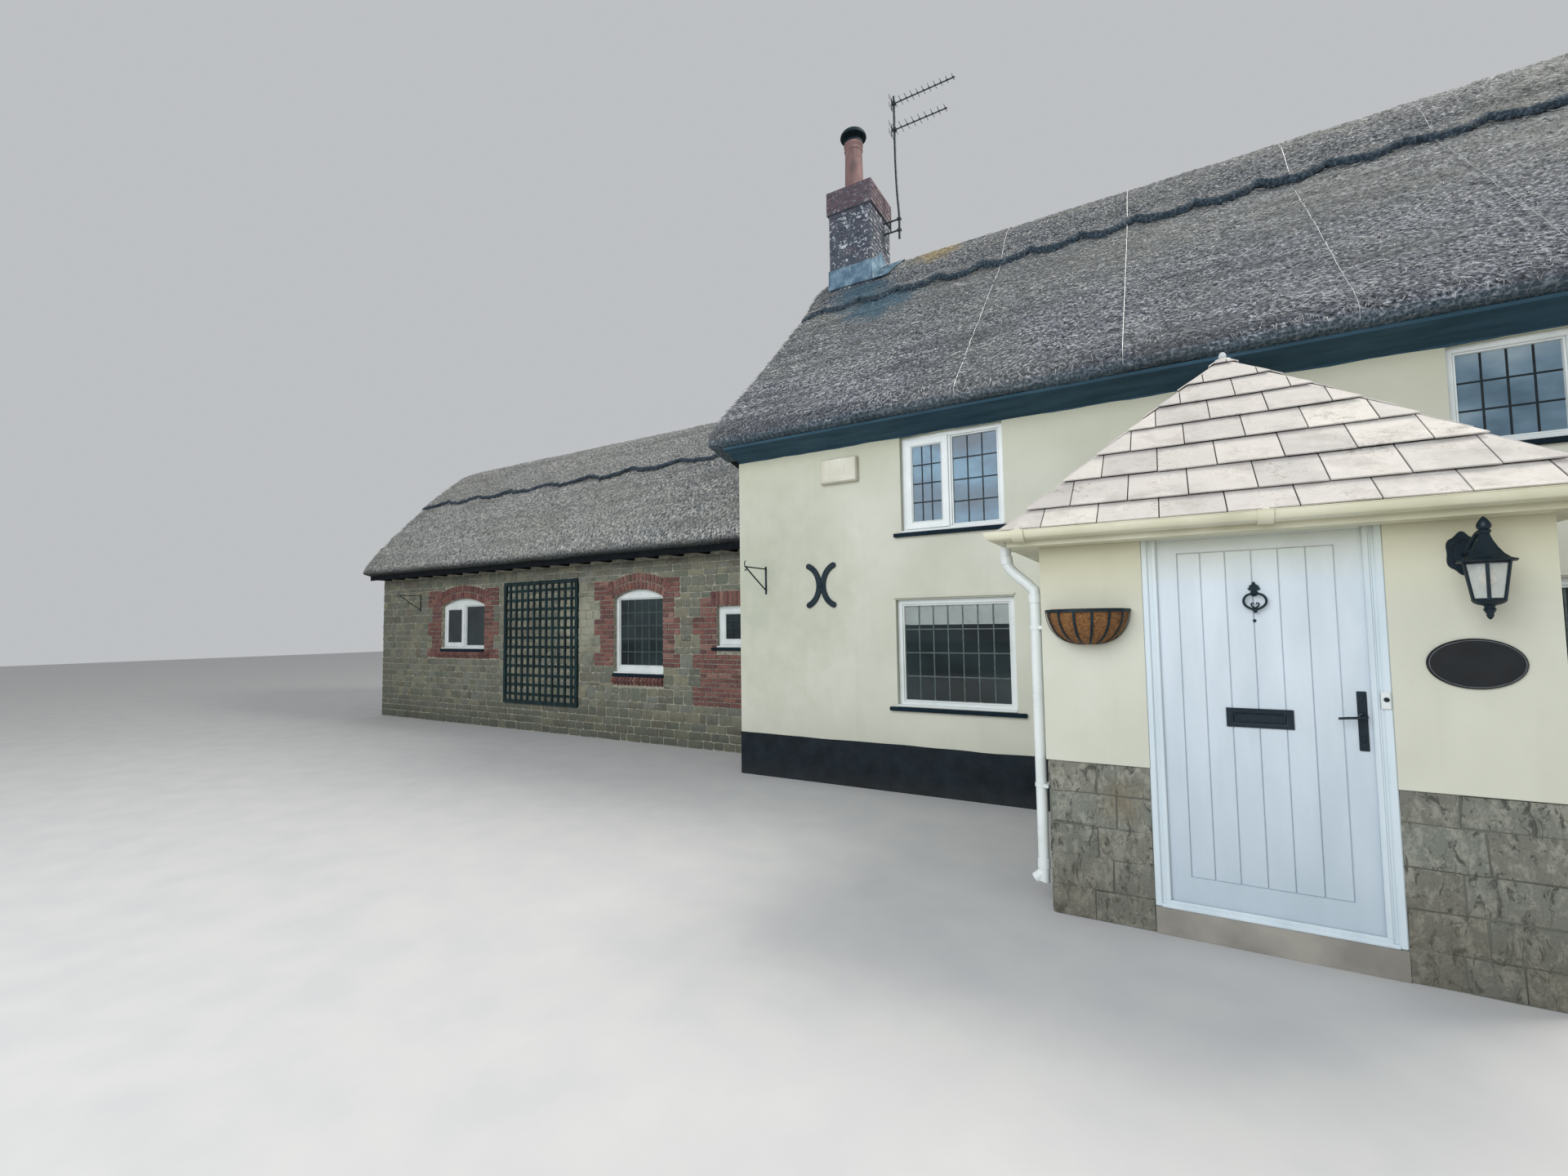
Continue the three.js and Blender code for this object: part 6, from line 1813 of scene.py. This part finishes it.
lanternPlan = {
    "place": (0.835, -5.200, 0), "sides": 6, "turn": math.radians(15), "glassInset": 0.004,
    "bodyTop": (0.084, 2.028), "bodyBottom": (0.058, 1.860),
    "roof": [(0.075, 2.028), (0.113, 2.034), (0.113, 2.039), (0.088, 2.048), (0.066, 2.068), (0.046, 2.098),
             (0.030, 2.130), (0.020, 2.158), (0.019, 2.166)],
    "finial": [(0.012, 2.160), (0.021, 2.166), (0.024, 2.176), (0.018, 2.184), (0.024, 2.190),
               (0.026, 2.200), (0.022, 2.214), (0.012, 2.232), (0.003, 2.243)],
    "foot": [(0.060, 1.858), (0.052, 1.846), (0.040, 1.838), (0.020, 1.832), (0.017, 1.824), (0.022, 1.815),
             (0.018, 1.806), (0.012, 1.795), (0.013, 1.786), (0.008, 1.776), (0.002, 1.769)],
    "bulb": [(0.0, 1.925), (0.016, 1.928), (0.027, 1.942), (0.030, 1.960), (0.025, 1.980), (0.015, 2.000),
             (0.013, 2.026)],
    "plate": (0.805, 2.09),
    # the arm and the scroll under it, from the middle of the wall plate
    "arm": ((0, -0.01, -0.01), (0.004, -0.05, 0.005), (0.012, -0.09, 0.045), (0.022, -0.13, 0.082)),
    "scroll": ((0, -0.015, -0.07), (0.004, -0.05, -0.06), (0.008, -0.075, -0.02), (0.008, -0.062, 0.012),
               (0.006, -0.045, -0.005)),
}


def buildLantern():
    plan = lanternPlan
    place = Vector(plan["place"])
    sides, turn = plan["sides"], plan["turn"]
    metal, glass, bulb = newShape(), newShape(), newShape()
    addLathe(metal, plan["roof"], place, sides=sides, turn=turn)
    addLathe(metal, plan["finial"], place)
    (topR, topZ), (lowR, lowZ) = plan["bodyTop"], plan["bodyBottom"]
    head, foot = place + Vector((0, 0, topZ)), place + Vector((0, 0, lowZ))
    corners = [Vector((a, b, 0)) for a, b in roundSection(1, sides, turn)]
    inset = 1 - plan["glassInset"] / topR
    for way, after in zip(corners, corners[1:] + corners[:1]):
        addSweep(metal, [foot + way * lowR, head + way * topR], flatSection(0.013, 0.009), up=way)
        quad = [foot + way * lowR * inset, foot + after * lowR * inset,
                head + after * topR * inset, head + way * topR * inset]
        out = (way + after).normalized() * 0.002
        addLoops(glass, [quad, [p - out for p in quad]])
    for z, r in ((topZ - 0.004, topR + 0.003), (lowZ - 0.004, lowR + 0.004)):
        rim = [(r, z), (r, z + 0.010), (r - 0.012, z + 0.010), (r - 0.012, z), (r, z)]
        addLathe(metal, rim, place, sides=sides, turn=turn)
    addLathe(metal, plan["foot"], place)
    addLathe(bulb, plan["bulb"], place, sides=24)
    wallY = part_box("porch_wall_right")[0].y
    plateX, plateZ = plan["plate"]
    outline, curls = [], 40
    for i in range(curls):
        angle = 2 * math.pi * i / curls
        swell = 1 + 0.07 * math.cos(6 * angle)
        outline.append((0.058 * swell * math.sin(angle), 0.100 * swell * math.cos(angle)))
    for size, front, back, bevel in ((1, 0.012, 0.0005, 0.004), (0.62, 0.024, 0.010, 0.006)):
        sized = [(plateX + x * size, plateZ + z * size) for x, z in outline]
        addPlate(metal, sized, wallY - front, wallY - back, bevel)
    fixed = Vector((plateX, wallY, plateZ))
    arm = [fixed + Vector(p) for p in plan["arm"]]
    arm += [place + Vector((0, 0.012, plateZ + 0.082)), place + Vector((0, 0, plateZ + 0.076))]
    addSweep(metal, smoothPath(arm), roundSection(0.010, 10), thin=lambda t: 1.25 - 0.35 * t)
    scroll = smoothPath([fixed + Vector(p) for p in plan["scroll"]])
    addSweep(metal, scroll, roundSection(0.007, 8), thin=lambda t: 1.2 - 0.5 * t)
    piece("lanternMetal", metal, "powderCoat", "wall_lantern", 35)
    piece("lanternGlass", glass, "clearGlass")
    piece("lanternBulb", bulb, "pearlBulb", smooth=60)


def buildPlaque():
    low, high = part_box("name_plaque")
    x, z = (low.x + high.x) / 2, (low.z + high.z) / 2
    a, b = (high.x - low.x) / 2, (high.z - low.z) / 2
    plate, rim = newShape(), newShape()
    addPlate(plate, [(x + a * s, z + b * c) for c, s in roundSection(1, 64)], low.y + 0.003, high.y, 0.006)
    piece("houseOval", plate, "blackEnamel", "name_plaque", 35)
    path = [(x + (a - 0.009) * s, low.y + 0.0035, z + (b - 0.009) * c) for c, s in roundSection(1, 64)]
    addSweep(rim, path, flatSection(0.0025, 0.003, 0.0008), ring=True, up=(0, 1, 0))
    piece("houseOvalRim", rim, "wornEnamel", smooth=40)


basketPlan = {"x": -0.860, "top": 1.850, "radius": 0.236, "deep": 0.205, "straps": 8}


def buildBasket():
    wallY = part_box("porch_wall_left")[0].y
    x, top, radius, deep, straps = basketPlan.values()
    liner, iron = newShape(), newShape()

    # fall goes from 0 at the rim to 1 at the bottom
    def bowl(turn, fall, shrink=1.0):
        r = radius * shrink * math.cos(fall * math.pi / 2) ** 0.75
        z = top - deep * math.sin(fall * math.pi / 2)
        return Vector((x + r * math.cos(turn), wallY - 0.001 - abs(r * math.sin(turn)), z))

    loops = []
    steps, rows = 36, 12
    for shrink, thick, order in ((0.965, 0, range(rows + 1)), (0.88, 0.012, range(rows, -1, -1))):
        for i in order:
            loop = []
            for k in range(steps + 1):
                point = bowl(math.pi * k / steps, min(0.985, i / rows), shrink)
                point += (point - Vector((x, wallY, top))).normalized() * 0.006 * lump(point, 0.03, 2.0)
                loop.append((point.x, min(point.y, wallY - 0.001), point.z + thick))
            loops.append(loop)
    addLoops(liner, loops, closed=False)
    piece("basketLiner", liner, "pressedCoir", "wall_basket", 60)
    for k in range(straps):
        turn = math.pi * (k + 0.25) / (straps - 0.5)
        strap = [bowl(turn, f / 10) for f in range(10)]
        addSweep(iron, strap, flatSection(0.014, 0.003, 0.001), up=(math.cos(turn), -math.sin(turn), 0))
    addSweep(iron, [bowl(math.pi * k / 32, 0, 1.005) for k in range(33)], flatSection(0.003, 0.018, 0.001))
    near, far = wallY - 0.006, wallY - 0.001
    addBlock(iron, (x - radius, near, top - 0.009), (x + radius, far, top + 0.009), 0.002)
    addBlock(iron, (x - 0.011, near, top - deep * 0.98), (x + 0.011, far, top), 0.002)
    piece("basketStraps", iron, "paintedIron", smooth=40)


# Two curved bars back to back on a bolt, with a disc on each end
def buildTie():
    low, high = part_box("wall_tie")
    x, z = (low.x + high.x) / 2, (low.z + high.z) / 2
    y, half, bend = high.y, 0.225, 1.22
    shape = newShape()
    for side in (-1, 1):
        turns = [bend * (-1 + 2 * i / 24) for i in range(25)]
        path = [(x + side * (0.226 - 0.200 * math.cos(a)), y - 0.011,
                 z + half * math.sin(a) / math.sin(bend))
                for a in turns]
        addSweep(shape, path, flatSection(0.066, 0.020, 0.005), up=(0, 1, 0))
        for end in (path[0], path[-1]):
            disc = [(0.033, 0.0), (0.033, 0.016), (0.029, 0.020), (0.0, 0.0205)]
            addLathe(shape, disc, (end[0], y - 0.001, end[2]), forwards)
    nut = [(0.030, 0.0), (0.030, 0.020), (0.022, 0.030), (0.0, 0.034)]
    addLathe(shape, nut, (x, y - 0.001, z), forwards, 6)
    piece("wallTie", shape, "paintedIron", "wall_tie", 40)


def buildAlarmBox():
    low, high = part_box("alarm_box")
    y, back = low.y, low.y + 0.03
    shape = newShape()
    addBlock(shape, (low.x, y + 0.02, low.z), high, 0.012)
    inner = (low.x + 0.05, high.x - 0.05, low.z + 0.045, high.z - 0.045)
    addFrame(shape, frontOf(low, high), inner, [
        (0, 0, back), (0, 0.006, y + 0.012), (0.35, 0, y + 0.003), (1, 0, y), (1, 0, back),
    ])
    x0, x1, z0, z1 = grown(inner, 0.002)
    addBlock(shape, (x0, y + 0.0005, z0), (x1, back, z1), 0.002)
    for x in (low.x + 0.02, high.x - 0.02):
        place = (x, y + 0.013, low.z + 0.02)
        addLathe(shape, [(0.006, 0.0), (0.005, 0.003), (0.0, 0.004)], place, forwards, 10)
    piece("alarmBox", shape, "agedAbs", "alarm_box", 35)


# A hook for a hanging basket: wall plate, arm, brace with a scroll, and an upturned tip
def hangingBracket(name, x, wallY, z0, z1, armZ, out, replaces=None):
    shape = newShape()
    tipY = wallY - out
    bar = flatSection(0.014, 0.014)

    def along(*places):
        return [(x, y, z) for y, z in places]

    addBlock(shape, (x - 0.012, wallY - 0.008, z0), (x + 0.012, wallY - 0.0005, z1), 0.002)
    addSweep(shape, along((wallY - 0.006, armZ), (tipY, armZ)), bar)
    addSweep(shape, smoothPath(along(
        (wallY - 0.010, z0 + 0.05), (wallY - out * 0.35, z0 + 0.05 + (armZ - z0) * 0.28),
        (wallY - out * 0.72, armZ - 0.07), (wallY - out * 0.94, armZ - 0.008),
    )), bar)
    addSweep(shape, smoothPath(along(
        (tipY, armZ), (tipY - 0.006, armZ + 0.028), (tipY + 0.002, armZ + 0.055),
        (tipY + 0.012, armZ + 0.068),
    ), 4), roundSection(0.006))
    addSweep(shape, smoothPath(along(
        (tipY + 0.035, armZ - 0.006), (tipY + 0.030, armZ - 0.035), (tipY + 0.010, armZ - 0.045),
        (tipY - 0.002, armZ - 0.030),
    ), 4), roundSection(0.005))
    piece(name, shape, "paintedIron", replaces, 40)


def buildBrackets():
    low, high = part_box("basket_bracket")
    hangingBracket("basketBracket", (low.x + high.x) / 2, high.y, low.z, 2.50, 2.47, 0.455, "basket_bracket")
    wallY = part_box("wing_front_wall")[0].y - 0.016
    hangingBracket("wingBracket", -13.6, wallY, 2.16, 2.52, 2.49, 0.45)


buildLantern()
buildPlaque()
buildBasket()
buildTie()
buildAlarmBox()
buildBrackets()
print("fittings fixed")

# Studio

studio = {
    "sky": "#eef1f4", "skyStrength": 0.6, "floorHalf": 60,
    "lamps": (
        # name, place, aimed at, size, watts, colour
        ("highKey", (8.0, 2.5, 17.0), (-1.0, -2.0, 2.5), 8.0, 3600.0, "#fffaf2"),
        ("frontFill", (-5.0, -17.0, 8.0), (-2.0, 0.0, 2.5), 12.0, 1650.0, "#f4f8ff"),
    ),
}


def buildStudio():
    mesh = bpy.data.meshes.new("studioFloor")
    half = studio["floorHalf"]
    corners = [(x * half, y * half, -0.001) for x, y in ((-1, -1), (1, -1), (1, 1), (-1, 1))]
    mesh.from_pydata(corners, [], [(0, 1, 2, 3)])
    mesh.materials.append(finishes["studioFloor"])
    link("studioFloor", mesh)
    world = bpy.data.worlds.new("paleSky")
    world.use_nodes = True
    background = world.node_tree.nodes["Background"]
    background.inputs["Color"].default_value = linear(studio["sky"])
    background.inputs["Strength"].default_value = studio["skyStrength"]
    bpy.context.scene.world = world
    for name, place, aim, size, watts, tone in studio["lamps"]:
        light = bpy.data.lights.new(name, "AREA")
        light.shape = "DISK"
        light.size = size
        light.energy = watts
        light.color = linear(tone)[:3]
        lamp = link(name, light)
        lamp.location = place
        lamp.rotation_euler = (Vector(aim) - Vector(place)).to_track_quat("-Z", "Y").to_euler()
    bpy.context.scene.view_settings.view_transform = "Standard"


buildStudio()
print("studio lit")
